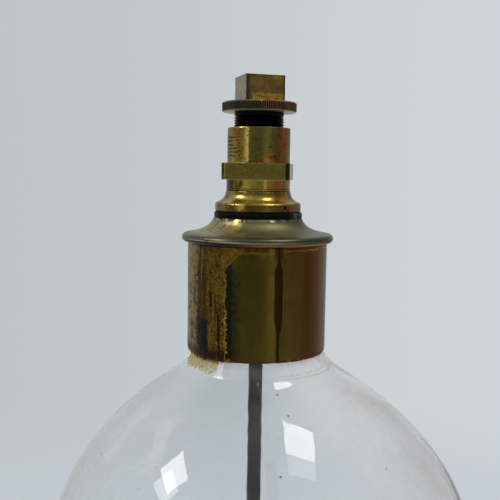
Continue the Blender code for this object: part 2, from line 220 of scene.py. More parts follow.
def ripple(theta, z, size, seed, waves=7, around=6, along=300.0):
    """A smooth, uneven height over a turned surface: a few long waves with fixed phases."""
    draw = np.random.default_rng(seed)
    total = np.zeros_like(theta)
    for _ in range(waves):
        turns = draw.integers(1, around + 1)
        climb = draw.uniform(-along, along)
        total += draw.uniform(0.4, 1.0) * np.sin(turns * theta + climb * z + draw.uniform(0, 6.28))
    return total * size / math.sqrt(waves)


def uneven(size, seed, **waves):
    """A shape for lathe: the surface pushed in and out a little."""
    return lambda r, z, theta: (r + ripple(theta, z, size, seed, **waves), z)


# Node trees

class Output:
    """What a node puts out. Numbers can be added, multiplied and so on."""

    def __init__(self, nodes, socket):
        self.nodes, self.socket = nodes, socket

    def __add__(self, other):
        return self.nodes.math("ADD", self, other)

    def __radd__(self, other):
        return self.nodes.math("ADD", other, self)

    def __sub__(self, other):
        return self.nodes.math("SUBTRACT", self, other)

    def __rsub__(self, other):
        return self.nodes.math("SUBTRACT", other, self)

    def __mul__(self, other):
        return self.nodes.math("MULTIPLY", self, other)

    def __pow__(self, power):
        return self.nodes.math("POWER", self, power)

    def __abs__(self):
        return self.nodes.math("ABSOLUTE", self)


def rgba(colour):
    return (*colour, 1.0) if isinstance(colour, tuple) and len(colour) == 3 else colour


class Nodes:
    """Short calls that build the node tree of a material or a world."""

    def __init__(self, owner):
        self.owner = owner
        owner.use_nodes = True
        self.tree = owner.node_tree
        self.tree.nodes.clear()

    def put(self, kind, inputs, out=0, **settings):
        node = self.tree.nodes.new("ShaderNode" + kind)
        for key, value in settings.items():
            setattr(node, key, value)
        for key, value in inputs.items():
            if isinstance(value, Output):
                self.tree.links.new(value.socket, node.inputs[key])
            else:
                node.inputs[key].default_value = value
        return Output(self, node.outputs[out])

    def math(self, operation, a, b=0.0, clamp=False):
        return self.put("Math", {0: a, 1: b}, operation=operation, use_clamp=clamp)

    def vector(self, operation, a, b):
        return self.put("VectorMath", {0: a, 1: b}, operation=operation)

    def split(self, vector):
        return [self.put("SeparateXYZ", {0: vector}, axis) for axis in "XYZ"]

    def smooth(self, value, low, high):
        """0 below low, 1 above high, and a smooth rise between; falls if high is below low."""
        if high < low:
            return 1 - self.smooth(value, high, low)
        return self.put("MapRange", {"Value": value, "From Min": low, "From Max": high},
                        interpolation_type="SMOOTHSTEP")

    def near(self, value, centre, half, soft):
        """1 within half of the centre, and 0 from soft beyond that."""
        return self.smooth(abs(value - centre), half + soft, half)

    def times(self, *factors):
        result = factors[0]
        for factor in factors[1:]:
            result = self.math("MULTIPLY", result, factor, clamp=True)
        return result

    def either(self, *factors):
        result = factors[0]
        for factor in factors[1:]:
            result = self.math("MAXIMUM", result, factor)
        return result

    def mix(self, factor, a, b):
        """Colours or numbers mixed by factor."""
        if isinstance(a, (int, float)) or (isinstance(a, Output) and a.socket.type == "VALUE"):
            return self.put("Mix", {0: factor, 2: a, 3: b}, 0, data_type="FLOAT")
        return self.put("Mix", {0: factor, 6: rgba(a), 7: rgba(b)}, 2, data_type="RGBA")

    def blend(self, factor, below, above):
        """Two shaders mixed by factor."""
        return self.put("MixShader", {0: factor, 1: below, 2: above})

    def finish(self, shader, kind="OutputMaterial"):
        output = self.tree.nodes.new("ShaderNode" + kind)
        self.tree.links.new(shader.socket, output.inputs["Surface"])
        return self.owner


class Material(Nodes):
    """One material's nodes, with places measured from the axis of the brass work."""

    def __init__(self, name):
        super().__init__(bpy.data.materials.new(name))
        place = self.put("TexCoord", {}, "Object")
        self.place = self.vector("SUBTRACT", place, (AXIS_X, 0, 0))
        self.x, self.y, self.z = self.split(self.place)
        self.angle = self.math("DEGREES", self.math("ARCTAN2", self.x, self.y * -1.0))
        self.radius = self.math("SQRT", self.x * self.x + self.y * self.y)

    def side(self, centre, half, soft):
        """1 near an angle round the axis."""
        return self.near(self.angle, centre, half, soft)

    def turn(self, start, end):
        """A smooth rise from one angle to another, either way round."""
        return self.smooth(self.angle, start, end)

    def rise(self, start, end):
        """A smooth rise from one height to another, up or down."""
        return self.smooth(self.z, start, end)

    def texture(self, kind, out, shift, stretch, seed, inputs, **settings):
        """A 3-D texture, moved by its seed. Stretch scales each direction, or only z if it is a number."""
        stretch = stretch if isinstance(stretch, tuple) else (1, 1, stretch)
        place = self.vector("MULTIPLY", self.place, stretch)
        place = self.vector("ADD", place, (seed, seed * shift[0], seed * shift[1]))
        return self.put(kind, {"Vector": place, **inputs}, out, **settings)

    def noise(self, scale, seed, detail=4, roughness=0.55, distortion=0, stretch=1):
        """Noise with features about 1/scale metres across."""
        return self.texture("TexNoise", "Fac", (1.7, 0.6), stretch, seed, {
            "Scale": scale, "Detail": detail, "Roughness": roughness, "Distortion": distortion})

    def patches(self, low, high, *noise, stretch=1):
        """Patches where a noise is past low, full at high."""
        return self.smooth(self.noise(*noise, stretch=stretch), low, high)

    def drift(self, scale, size, seed, stretch=1):
        """A noise centred on 0, to make a straight edge wander by about a size."""
        return (self.noise(scale, seed, 5, 0.62, stretch=stretch) - 0.5) * size

    def cells(self, scale, seed, stretch=1, feature="F1"):
        """The distance to the middle of the nearest cell, or to its edge."""
        return self.texture("TexVoronoi", "Distance", (1.3, 0.7), stretch, seed, {"Scale": scale},
                            feature=feature)

    def bump(self, height, distance, strength=1.0, normal=None):
        inputs = {"Height": height, "Distance": distance, "Strength": strength}
        if normal is not None:
            inputs["Normal"] = normal
        return self.put("Bump", inputs)

    def surface(self, colour, rough, normal, more=None):
        """The usual shader, with more inputs by name."""
        inputs = {"Base Color": rgba(colour), "Roughness": rough, **(more or {})}
        if normal is not None:
            inputs["Normal"] = normal
        return self.put("BsdfPrincipled", inputs)


class Metal(Material):
    """Brass with layers of wear and tarnish, and some painted highlights, shade and reflections, laid over
    each other.
    """

    def __init__(self, name, colour, rough, metal=1.0):
        super().__init__(name)
        self.colour, self.rough, self.metal = colour, rough, metal
        self.heights = []

    def lay(self, colour, rough, *masks, metal=None):
        """A layer where all the masks meet. What is None stays as it was."""
        mask = self.times(*masks)
        if colour is not None:
            self.colour = self.mix(mask, self.colour, colour)
        self.rough = self.mix(mask, self.rough, rough)
        if metal is not None:
            self.metal = self.mix(mask, self.metal, metal)

    def raise_by(self, height, distance, strength):
        self.heights.append((height, distance, strength))

    def done(self, coat, coat_rough):
        normal = None
        for height, distance, strength in self.heights:
            normal = self.bump(height, distance, strength, normal)
        return self.finish(self.surface(self.colour, self.rough, normal, {
            "Metallic": self.metal, "Coat Weight": coat, "Coat Roughness": coat_rough}))


# Colours used in several places
BRIGHT_GOLD = (0.95, 0.68, 0.13)
UMBER = (0.15, 0.07, 0.014)
ORANGE = (0.72, 0.27, 0.035)
BLACK = (0.02, 0.016, 0.012)


def turned_marks(metal, pitch, strength, seed):
    """Fine lathe marks: rings at about a pitch, broken up by noise."""
    rings = metal.noise(1 / pitch, seed, 2, 0.6, stretch=(0.02, 0.02, 1))
    metal.raise_by(rings, 0.00004, strength)


def fine_wear(metal, seed):
    """Small scratches, dull spots, pits and a cloudy film, the same on every brass piece."""
    cloud = metal.noise(160, seed, 5, 0.6)
    metal.lay(None, 0.44, metal.smooth(cloud, 0.45, 0.75))
    scratches = metal.noise(900, seed + 3, 2, 0.5, stretch=0.12)
    metal.raise_by(scratches, 0.00002, 0.5)
    specks = metal.cells(1100, seed + 5)
    sparse = metal.patches(0.5, 0.66, 260, seed + 7, 2)
    pits = metal.times(metal.smooth(specks, 0.26, 0.14), sparse)
    metal.lay((0.05, 0.028, 0.01), 0.6, pits, 0.85)
    metal.raise_by(1 - pits, 0.00004, 0.6)


def behind(metal, start, end):
    """1 on the side away from the camera, where broad stains take over."""
    return metal.smooth(abs(metal.angle), start, end)


# Materials. In what follows m is a metal being built, and n any other material.

def collar_panel(m):
    """The smooth part of the collar's front, with a rounded top left corner and a scalloped left edge."""
    scallops = (m.cells(640, 19) - 0.4) * 4.2
    edge = m.angle + (m.drift(200, 5, 18) + scallops)
    drop = m.turn(-11, -27) * 0.0052
    ceiling = COLLAR_TOP - 0.0019 - drop
    height = m.z + m.drift(300, 0.002, 17)
    below = height - ceiling
    return edge, below, m.times(m.smooth(edge, -24.6, -23.8), m.smooth(below, 0.0002, -0.0002))


def collar_corrosion(m, worn):
    """The eaten left side: mottled gold and brown, dark streaks, grey beyond them, black specks."""
    m.lay((0.25, 0.14, 0.018), 0.5, worn)
    grain = m.noise(900, 20, 4, 0.7, stretch=0.5)
    mottle = m.noise(330, 21, 5, 0.7, 0.4, stretch=0.6)
    m.lay((0.46, 0.275, 0.03), 0.42, worn, m.smooth(mottle, 0.48, 0.6))
    m.lay((0.43, 0.29, 0.05), 0.45, worn, m.smooth(grain, 0.54, 0.64), 0.8)
    m.lay((0.095, 0.045, 0.009), 0.55, worn, m.smooth(mottle, 0.42, 0.34), 0.7)
    fleck = m.noise(1500, 29, 3, 0.7, stretch=0.7)
    m.lay((0.7, 0.45, 0.055), 0.42, worn, m.smooth(fleck, 0.56, 0.62), 0.8)
    m.lay((0.06, 0.03, 0.008), 0.55, worn, m.smooth(fleck, 0.44, 0.38), 0.7)
    far = m.times(worn, m.smooth(m.angle + m.drift(300, 9, 23), -51, -54), m.turn(-125, -100))
    m.lay((0.34, 0.225, 0.06), 0.5, far, 0.85)
    m.lay((0.56, 0.43, 0.17), 0.48, far, m.smooth(fleck, 0.5, 0.58))
    m.lay((0.44, 0.2, 0.045), 0.45, far, m.smooth(mottle, 0.5, 0.6),
          m.rise(COLLAR_BOTTOM + 0.02, COLLAR_TOP))
    m.lay((0.34, 0.3, 0.21), 0.45, far, m.turn(-72, -84), 0.6)
    blots = m.patches(0.49, 0.57, 210, 11, 5, 0.72, 0.4)
    m.lay((0.05, 0.04, 0.03), 0.5, far, blots, m.rise(COLLAR_TOP - 0.006, COLLAR_TOP - 0.014), 0.85)
    streaks = m.noise(460, 26, 5, 0.65, 0.5, stretch=0.09)
    brown = m.near(m.angle + m.drift(200, 7, 25, 0.3), -49.5, 4.4, 2.8)
    m.lay((0.085, 0.036, 0.01), 0.5, worn, brown, m.smooth(streaks, 0.34, 0.5), 0.85)
    thin = m.times(m.side(-36, 5.5, 2), m.smooth(streaks, 0.56, 0.6))
    m.lay((0.055, 0.026, 0.008), 0.5, worn, thin)
    blue_height = m.z + m.drift(180, 0.009, 27)
    blue = m.times(m.near(m.angle + m.drift(260, 9, 28), -48.5, 5.2, 2.6),
                   m.near(blue_height, COLLAR_BOTTOM + 0.0082, 0.0036, 0.005))
    m.lay((0.022, 0.028, 0.038), 0.42, worn, blue)
    speckle = m.cells(900, 22, stretch=0.7)
    crowd = m.either(m.patches(0.47, 0.57, 210, 24, 3), m.times(far, 0.9))
    m.lay(BLACK, 0.6, worn, m.smooth(speckle, 0.34, 0.2), crowd)
    rust = m.times(worn, m.patches(0.57, 0.65, 300, 31, 4, 0.6, stretch=0.5),
                   m.rise(COLLAR_BOTTOM + 0.02, COLLAR_BOTTOM + 0.006))
    m.lay((0.4, 0.12, 0.015), 0.55, rust)
    low = m.times(worn, m.smooth(m.z + m.drift(300, 0.006, 32), COLLAR_BOTTOM + 0.0052,
                                 COLLAR_BOTTOM + 0.0022))
    m.lay((0.055, 0.026, 0.012), 0.5, low, 0.85)
    m.raise_by(m.times(worn, grain), 0.00018, 0.8)
    m.raise_by(m.times(worn, mottle), 0.0003, 0.5)


def collar_drip(m):
    """A dark run down the front: a neck at the top, broad in its upper half, a thin line below."""
    path = m.angle + m.drift(110, 2.4, 40, (0, 0, 1))
    away = abs(path - 16.4)
    broad = m.times(m.rise(COLLAR_BOTTOM + 0.0085, COLLAR_BOTTOM + 0.017),
                    m.rise(COLLAR_TOP - 0.004, COLLAR_TOP - 0.0085))
    width = broad * 2.1 + 0.75
    top = m.times(m.rise(COLLAR_TOP - 0.0055, COLLAR_TOP - 0.0015), m.near(path, 16.4, 2.6, 1.6))
    halo = m.times(m.near(path, 13.2, 2.6, 2.5), m.rise(COLLAR_TOP - 0.001, COLLAR_TOP - 0.014), 0.3)
    m.lay((0.36, 0.225, 0.03), 0.34, halo)
    m.lay((0.13, 0.045, 0.012), 0.36, top, 0.8)
    drip = m.smooth(away - width, 0.7, -0.2)
    m.lay((0.09, 0.041, 0.007), 0.3, drip)
    skin = m.times(m.near(away - width, 0.1, 0.16, 0.3), m.patches(0.38, 0.52, 260, 41, 3),
                   m.rise(COLLAR_TOP - 0.003, COLLAR_TOP - 0.006))
    m.lay((0.026, 0.016, 0.006), 0.34, skin, 0.85)


def collar_brass():
    """Olive front, a corroded left side, a dark drip, a red side, and stains at both edges."""
    m = Metal("collar_brass", (0.275, 0.195, 0.032), 0.3)
    tall = 0.35
    m.lay((0.27, 0.19, 0.024), 0.34, m.patches(0.42, 0.68, 60, 4, 4, 0.6, stretch=tall))
    m.lay((0.19, 0.15, 0.034), 0.27, m.patches(0.5, 0.7, 45, 9, 3, stretch=tall), 0.8)
    mist = m.patches(0.5, 0.66, 420, 10, 5, 0.7)
    m.lay((0.2, 0.125, 0.022), 0.36, mist, 0.35)

    # the rest of the way round: broad stains of the same kinds
    back = behind(m, 70, 100)
    m.lay((0.4, 0.26, 0.05), 0.45, back, m.patches(0.5, 0.6, 55, 12, 5, 0.6, 1.2, stretch=tall))
    m.lay(UMBER, 0.42, back, m.patches(0.54, 0.66, 70, 15, 5, 0.65, 0.6, stretch=0.25))
    m.lay((0.1, 0.045, 0.012), 0.5, back, m.patches(0.58, 0.66, 240, 16, 5, 0.7, 0.4))

    # right side: brown with fine rings, then red, then dull grey
    m.lay((0.4, 0.235, 0.05), 0.35, m.turn(18, 24), m.turn(100, 64))
    rings = m.patches(0.5, 0.62, 2300, 33, 2, 0.5, stretch=(0.03, 0.03, 1))
    m.lay((0.24, 0.15, 0.03), 0.36, rings, m.side(30, 8, 8), 0.22)
    red_angle = m.angle + m.drift(70, 13, 2, 0.4)
    m.lay((0.3, 0.19, 0.095), 0.38, m.turn(46, 58), m.turn(110, 90), 0.85)
    m.lay((0.27, 0.085, 0.024), 0.34, m.near(red_angle, 49, 6, 10), 0.8)
    m.lay((0.27, 0.235, 0.165), 0.4, m.turn(64, 74), m.turn(110, 90), 0.8)

    edge, below, panel = collar_panel(m)
    left = m.turn(-118, -92)
    worn = m.times(1 - panel, m.smooth(edge, -23.8, -24.6), left)
    beside = m.times(panel, m.near(edge, -20.5, 3.2, 6.5), m.rise(COLLAR_TOP - 0.003, COLLAR_TOP - 0.01))
    m.lay((0.088, 0.09, 0.042), 0.3, beside, 0.85)
    m.lay((0.03, 0.033, 0.026), 0.34, panel, m.near(edge, -22.4, 1.7, 3.2), 0.9)
    strip = m.times(1 - panel, m.smooth(edge, -24.6, -23.8))
    patch = m.noise(430, 34, 5, 0.7, stretch=1.4)
    m.lay((0.36, 0.165, 0.022), 0.42, strip, m.turn(110, 80))
    m.lay((0.55, 0.34, 0.04), 0.42, strip, m.smooth(patch, 0.48, 0.58), m.turn(22, 14), 0.8)
    m.lay((0.17, 0.065, 0.014), 0.42, strip, m.smooth(patch, 0.44, 0.36), 0.8)
    m.lay((0.42, 0.15, 0.05), 0.4, strip, m.turn(26, 34), m.turn(110, 80), 0.6)
    rim_line = m.near(m.z + m.drift(200, 0.0006, 35), COLLAR_TOP - 0.0009, 0.00014, 0.00018)
    broken = m.patches(0.36, 0.48, 260, 38, 3, 0.6)
    m.lay((0.8, 0.42, 0.19), 0.4, strip, rim_line, broken, m.turn(14, 26))
    collar_corrosion(m, worn)
    dotted = m.patches(0.42, 0.54, 650, 39, 3, 0.6)
    outline = m.times(m.near(edge, -24.9, 0.3, 0.6), m.smooth(below, 0.0002, -0.001), left, dotted)
    m.lay((0.74, 0.54, 0.07), 0.4, outline)
    upper_line = m.times(m.near(below, 0.0002, 0.00018, 0.00025), m.smooth(edge, -26, -24), m.turn(26, 12))
    m.lay((0.58, 0.4, 0.055), 0.4, upper_line, 0.7)
    dot = m.math("SQRT", ((m.angle - 3.6) * 0.00046) ** 2 + (m.z - (COLLAR_TOP - 0.0025)) ** 2)
    m.lay((0.5, 0.36, 0.06), 0.4, m.near(dot, 0.00075, 0.00012, 0.00014), 0.8)

    under = m.smooth(m.z + m.drift(240, 0.0022, 36), COLLAR_BOTTOM + 0.0017, COLLAR_BOTTOM + 0.0006)
    m.lay((0.13, 0.042, 0.012), 0.42, under)
    m.lay((0.42, 0.17, 0.035), 0.45, under, m.patches(0.55, 0.62, 500, 37, 4, 0.6))
    collar_drip(m)
    turned_marks(m, 0.00035, 0.12, 1)
    fine_wear(m, 2)
    return m.done(0.18, 0.22)


def cap_brass():
    """Dull olive-grey spun brass, brown and rubbed gold on its left with a painted highlight in the gold,
    and a darker rolled rim with a painted highlight line on it, painted shade and a painted reflection
    under it, and painted glints beside the washer.
    """
    m = Metal("cap_brass", (0.25, 0.235, 0.115), 0.4)
    cloud = m.noise(90, 50, 5, 0.6, 0.6)
    m.lay((0.2, 0.19, 0.105), 0.46, m.smooth(cloud, 0.45, 0.65))
    m.lay((0.31, 0.25, 0.1), 0.4, m.patches(0.56, 0.72, 150, 52, 4, 0.6), 0.7)
    left = m.times(m.smooth(m.angle + m.drift(120, 22, 51), -22, -34), m.turn(-140, -110))
    mottle = m.noise(260, 56, 5, 0.7, 0.5)
    m.lay((0.5, 0.4, 0.215), 0.42, left, m.smooth(mottle, 0.38, 0.52))
    m.lay((0.58, 0.43, 0.12), 0.38, left, m.patches(0.54, 0.62, 480, 48, 4, 0.7), 0.8)
    m.lay((0.24, 0.12, 0.035), 0.48, left, m.smooth(mottle, 0.56, 0.64), 0.8)
    # Rubbed brighter brass, shaped and slanted like the left window's highlight: real wear, partly a
    # painted highlight.
    rub_angle = m.angle + m.drift(150, 20, 53)
    slant = rub_angle + (m.radius - 0.0175) * 800
    rubbed_highlight = m.times(m.near(slant, -27, 4, 6), m.patches(0.38, 0.52, 420, 54, 4, 0.65),
                  m.smooth(m.radius, CAP_RADIUS - 0.005, CAP_RADIUS - 0.009))
    m.lay((0.68, 0.51, 0.12), 0.35, rubbed_highlight)
    m.lay(None, 0.52, m.side(14, 24, 14))
    rim = m.smooth(m.radius, CAP_RADIUS - 0.0036, CAP_RADIUS - 0.0022)
    m.lay((0.115, 0.11, 0.07), 0.36, rim, 0.85)
    freckles = m.patches(0.54, 0.62, 700, 57, 4, 0.7)
    m.lay((0.33, 0.3, 0.22), 0.5, rim, freckles, m.turn(-8, -40))
    # Painted highlight: a thin pale line along the rolled rim.
    rim_highlight_line = m.times(m.near(m.z, CAP_BOTTOM + 0.00165, 0.00012, 0.00022), m.turn(-70, -40),
                        m.turn(60, 12))
    m.lay((0.92, 0.88, 0.62), 0.42, rim, rim_highlight_line, m.patches(0.3, 0.46, 90, 59, 3))
    # Painted shade: the underside of the rolled rim darkened.
    rim_underside_shade = m.times(m.smooth(m.z + m.drift(300, 0.0006, 58), CAP_BOTTOM + 0.0015, CAP_BOTTOM + 0.001),
                      rim)
    m.lay((0.075, 0.055, 0.03), 0.45, rim_underside_shade)
    # Painted reflection of the collar: brown-orange bands under the rim on the right.
    strands = m.math("SINE", m.angle * 5.2 + m.z * 5200)
    collar_reflection = m.times(rim_underside_shade, m.smooth(strands, -0.1, 0.6), m.turn(-20, 10), m.turn(110, 90))
    m.lay((0.62, 0.33, 0.075), 0.45, collar_reflection, 0.9)
    # Painted shadow: blue-black under the rim on the left.
    m.lay((0.018, 0.024, 0.034), 0.32, rim_underside_shade, m.turn(-12, -26), 0.95)
    # Painted highlights: small white glints on the cap just outside the washer.
    glints = m.times(m.near(m.radius, WASHER_RADIUS + 0.0005, 0.00008, 0.00022), m.side(14, 4, 3),
                     m.patches(0.42, 0.54, 260, 49, 3, 0.6))
    m.lay((0.95, 0.86, 0.55), 0.32, glints, 0.8)
    seat = m.smooth(m.radius, WASHER_RADIUS + 0.0011, WASHER_RADIUS + 0.0003)
    m.lay((0.05, 0.045, 0.03), 0.5, seat, m.patches(0.46, 0.56, 380, 55, 3))
    turned_marks(m, 0.0004, 0.07, 5)
    fine_wear(m, 6)
    return m.done(0.12, 0.35)


def foot_brass():
    """Gold, with painted highlights on the flare and on the rib, grey at both sides, stained orange on the
    right.
    """
    m = Metal("foot_brass", (0.68, 0.51, 0.12), 0.25)
    cloud = m.noise(190, 60, 5, 0.65, 0.5)
    m.lay((0.46, 0.32, 0.06), 0.32, m.smooth(cloud, 0.48, 0.66))
    rib = m.rise(RIB_TOP - 0.00007, RIB_TOP - 0.00027)
    flare = m.rise(RIB_TOP - 0.00002, RIB_TOP + 0.00058)
    m.lay((0.4, 0.315, 0.055), 0.36, rib, m.side(2, 20, 7))
    m.lay((0.54, 0.36, 0.085), 0.34, rib, m.side(-52, 12, 6), m.smooth(cloud, 0.36, 0.5))
    # Painted highlight: a bright gold glint on the rib's left front.
    m.lay(BRIGHT_GOLD, 0.26, rib, m.side(-25, 5, 4))
    m.lay((0.46, 0.25, 0.075), 0.38, rib, m.side(42, 14, 8), 0.85)
    stained = m.times(flare, m.near(m.angle + m.drift(200, 14, 61), 41, 10, 8),
                      m.patches(0.34, 0.52, 240, 62, 4))
    m.lay(ORANGE, 0.34, stained, 0.85)
    sides = m.either(m.times(m.turn(-50, -62), m.turn(-125, -100)),
                     m.times(m.turn(54, 64), m.turn(125, 100)))
    m.lay((0.19, 0.14, 0.078), 0.42, sides, 0.85)
    blotch = m.patches(0.56, 0.63, 420, 64, 4, 0.7)
    m.lay((0.2, 0.1, 0.025), 0.5, blotch, 0.75)
    # Painted highlight: bright gold on the flare's right front.
    glint = m.times(flare, m.side(17, 7, 5))
    m.lay(BRIGHT_GOLD, 0.2, glint)
    pit = m.times(m.side(37, 1.6, 1.2), m.near(m.z, RIB_TOP - 0.00142, 0.0004, 0.0003))
    m.lay(BLACK, 0.6, pit)
    m.lay(UMBER, 0.45, behind(m, 75, 105), m.patches(0.5, 0.6, 130, 66, 5, 0.6, 0.8))
    joint = m.near(m.z, FOOT_TOP, 0.0001, 0.00025)
    m.lay((0.07, 0.04, 0.012), 0.5, joint, 0.9)
    oily = m.smooth(m.z + m.drift(300, 0.001, 67), FOOT_BOTTOM + 0.0006, FOOT_BOTTOM + 0.00035)
    m.lay((0.07, 0.045, 0.02), 0.4, oily, 0.8)
    turned_marks(m, 0.0003, 0.12, 9)
    fine_wear(m, 10)
    return m.done(0.32, 0.16)


def barrel_upper(m):
    """Above the band: scratched orange-brown, a bright gold column that is partly a painted highlight, a
    thin painted highlight line, olive grey, then a red stripe.
    """
    upper = m.rise(BAND_TOP - 0.0001, BAND_TOP + 0.0001)
    climb = m.rise(BARREL_TOP, BAND_TOP)
    gold_noise = m.noise(520, 72, 5, 0.72, 0.3)
    m.lay((0.8, 0.56, 0.085), 0.33, upper, m.side(-44, 12, 5))
    # Brighter gold mottle where the left wall window's highlight falls: real gold, partly a painted
    # highlight.
    m.lay(BRIGHT_GOLD, 0.28, upper, m.side(-29, 7, 4), m.smooth(gold_noise, 0.34, 0.44))
    m.lay((0.17, 0.09, 0.014), 0.5, upper, m.side(-32, 9, 4), m.smooth(gold_noise, 0.56, 0.62),
          m.smooth(climb, 0.15, 0.4), 0.7)
    line_angle = m.angle + m.drift(260, 3, 71)
    # Painted highlight: a thin bright vertical line on the barrel's left front.
    m.lay((0.9, 0.7, 0.2), 0.24, upper, m.near(line_angle, -20.5, 1.6, 0.9))
    spots = m.smooth(m.cells(900, 73), 0.52, 0.4)
    m.lay((0.035, 0.02, 0.006), 0.5, upper, m.near(line_angle, -16.6, 1.7, 1), spots,
          m.smooth(climb, 0.12, 0.35))
    middle = m.times(upper, m.side(9, 21, 4))
    m.lay((0.48, 0.385, 0.095), 0.33, middle, 0.85)
    wisps = m.noise(1150, 75, 3, 0.55, 0.5, stretch=(0.16, 0.16, 1))
    m.lay((0.12, 0.085, 0.018), 0.5, middle, m.smooth(wisps, 0.6, 0.65),
          m.near(m.z, BAND_TOP + 0.0062, 0.0024, 0.0014))
    creep = m.z + m.drift(220, 0.004, 79)
    reach = m.turn(4, 46) * 0.0026
    low_gold = m.times(upper, m.smooth(creep - reach, BAND_TOP + 0.0031, BAND_TOP + 0.0015), m.turn(0, 8),
                       m.turn(60, 50))
    m.lay((0.95, 0.52, 0.07), 0.3, low_gold)
    m.lay((0.66, 0.19, 0.035), 0.34, low_gold, m.turn(24, 40), m.smooth(gold_noise, 0.42, 0.52))
    m.lay((0.32, 0.1, 0.022), 0.4, low_gold, m.smooth(gold_noise, 0.52, 0.58))
    red_angle = m.angle + (m.drift(150, 14, 74, 0.5) + climb * 5)
    m.lay((0.5, 0.2, 0.058), 0.36, upper, m.near(red_angle, 51, 11, 8))
    m.lay((0.8, 0.26, 0.06), 0.34, upper, m.near(red_angle, 46, 5, 7), m.smooth(gold_noise, 0.4, 0.54))
    m.lay((0.2, 0.075, 0.028), 0.42, upper, m.near(red_angle, 50, 12, 8),
          m.patches(0.52, 0.6, 380, 67, 4, 0.7), 0.6)
    m.lay((0.55, 0.33, 0.07), 0.34, upper, m.side(42, 4, 6), m.smooth(gold_noise, 0.46, 0.56), 0.7)
    dull = m.times(upper, m.turn(-54, -66), m.turn(-125, -100))
    m.lay((0.25, 0.205, 0.09), 0.4, dull, 0.8)
    rusty = m.times(upper, m.near(m.angle + m.drift(240, 18, 69), -50, 8, 8), m.smooth(climb, 0.95, 0.35))
    m.lay((0.5, 0.25, 0.04), 0.38, rusty, 0.6)
    dull = m.times(upper, m.turn(60, 68), m.turn(125, 100))
    m.lay((0.215, 0.19, 0.12), 0.4, dull, 0.9)
    row_height = m.z + m.drift(420, 0.0013, 76, (0.5, 0.5, 1))
    rows = m.math("SINE", row_height * (2 * math.pi / 0.00137))
    broken = m.noise(620, 68, 3, 0.6, stretch=(0.45, 0.45, 1))
    marks = m.times(upper, m.smooth(rows, 0.05, 0.6), m.smooth(broken, 0.35, 0.45),
                    m.near(m.angle + m.drift(700, 24, 77), -60, 21, 6),
                    m.near(m.z, BARREL_TOP - 0.0072, 0.0036, 0.001))
    m.lay((0.03, 0.02, 0.01), 0.6, marks, 0.93)
    flecks = m.smooth(m.cells(1050, 65, stretch=1.2), 0.4, 0.26)
    crowd = m.times(upper, m.near(m.angle + m.drift(500, 8, 64), -31, 8, 3),
                    m.near(m.z, BARREL_TOP - 0.0068, 0.005, 0.0016))
    m.lay((0.055, 0.03, 0.008), 0.5, crowd, flecks, m.patches(0.4, 0.52, 500, 63, 3))
    sparse = m.times(middle, m.smooth(m.cells(420, 61), 0.12, 0.08))
    m.lay((0.05, 0.03, 0.01), 0.5, sparse, 0.8)
    return marks


def barrel_band(m):
    """The spanner band: dark olive faces, black left corner, pale right face, worn edges."""
    band = m.near(m.z, (BAND_TOP + BAND_BOTTOM) / 2, (BAND_TOP - BAND_BOTTOM) / 2 + 0.0001, 0.0001)
    m.lay((0.66, 0.51, 0.11), 0.38, band, m.side(-6, 44, 6))
    shade = m.patches(0.44, 0.6, 300, 82, 4, 0.6, 0.4)
    m.lay((0.44, 0.36, 0.075), 0.42, band, shade, m.side(-6, 44, 6), 0.7)
    edges = m.either(m.near(m.z, BAND_TOP - 0.0002, 0.00018, 0.00012),
                     m.near(m.z, BAND_BOTTOM + 0.0002, 0.00018, 0.00012))
    m.lay((0.8, 0.66, 0.24), 0.34, band, edges, 0.7)
    m.lay((0.07, 0.056, 0.026), 0.5, band, m.side(-52, 2.6, 0.8), 0.9)
    m.lay((0.7, 0.58, 0.22), 0.34, band, m.side(-47.6, 0.4, 0.4), 0.7)
    m.lay((0.06, 0.042, 0.016), 0.42, band, m.side(38.7, 3.2, 0.6), 0.92)
    m.lay((0.5, 0.46, 0.32), 0.42, band, m.turn(42, 43), m.turn(110, 90))
    low_left = m.times(m.side(-42, 6, 5), m.rise(BAND_BOTTOM + 0.0026, BAND_BOTTOM + 0.0008))
    m.lay((0.95, 0.62, 0.1), 0.32, band, low_left, m.patches(0.5, 0.58, 900, 84, 4, 0.7))


def barrel_lower(m):
    """Below the band: brown gold, two painted highlight lines, orange blotches on the right, grey sides."""
    lower = m.rise(BAND_BOTTOM + 0.0001, BAND_BOTTOM - 0.0001)
    m.lay((0.96, 0.75, 0.16), 0.38, lower, m.side(0, 40, 10))
    # Painted highlight: a thin bright line on the left front.
    m.lay((1, 0.78, 0.17), 0.24, lower, m.side(-25, 2.6, 2.4))
    m.lay((0.44, 0.23, 0.04), 0.34, lower, m.side(-38, 7, 5), m.patches(0.42, 0.56, 420, 86, 4, 0.7))
    # Painted highlight: a thin bright line just right of the front.
    m.lay((1, 0.74, 0.14), 0.24, lower, m.side(9, 3.2, 2.6))
    blotch = m.patches(0.36, 0.5, 260, 77, 4, 0.6)
    m.lay((1, 0.66, 0.14), 0.44, lower, m.side(34, 15, 7))
    m.lay((1, 0.46, 0.11), 0.44, lower, m.side(34, 15, 7), blotch, 0.85)
    m.lay((0.1, 0.045, 0.015), 0.4, lower, m.side(50, 2, 2), 0.5)
    m.lay((0.062, 0.052, 0.02), 0.38, lower, m.turn(-47, -55), m.turn(-120, -100), 0.92)
    joint = m.near(m.z, FOOT_TOP + 0.0007, 0.00008, 0.00012)
    m.lay((0.08, 0.045, 0.014), 0.5, joint, 0.8)


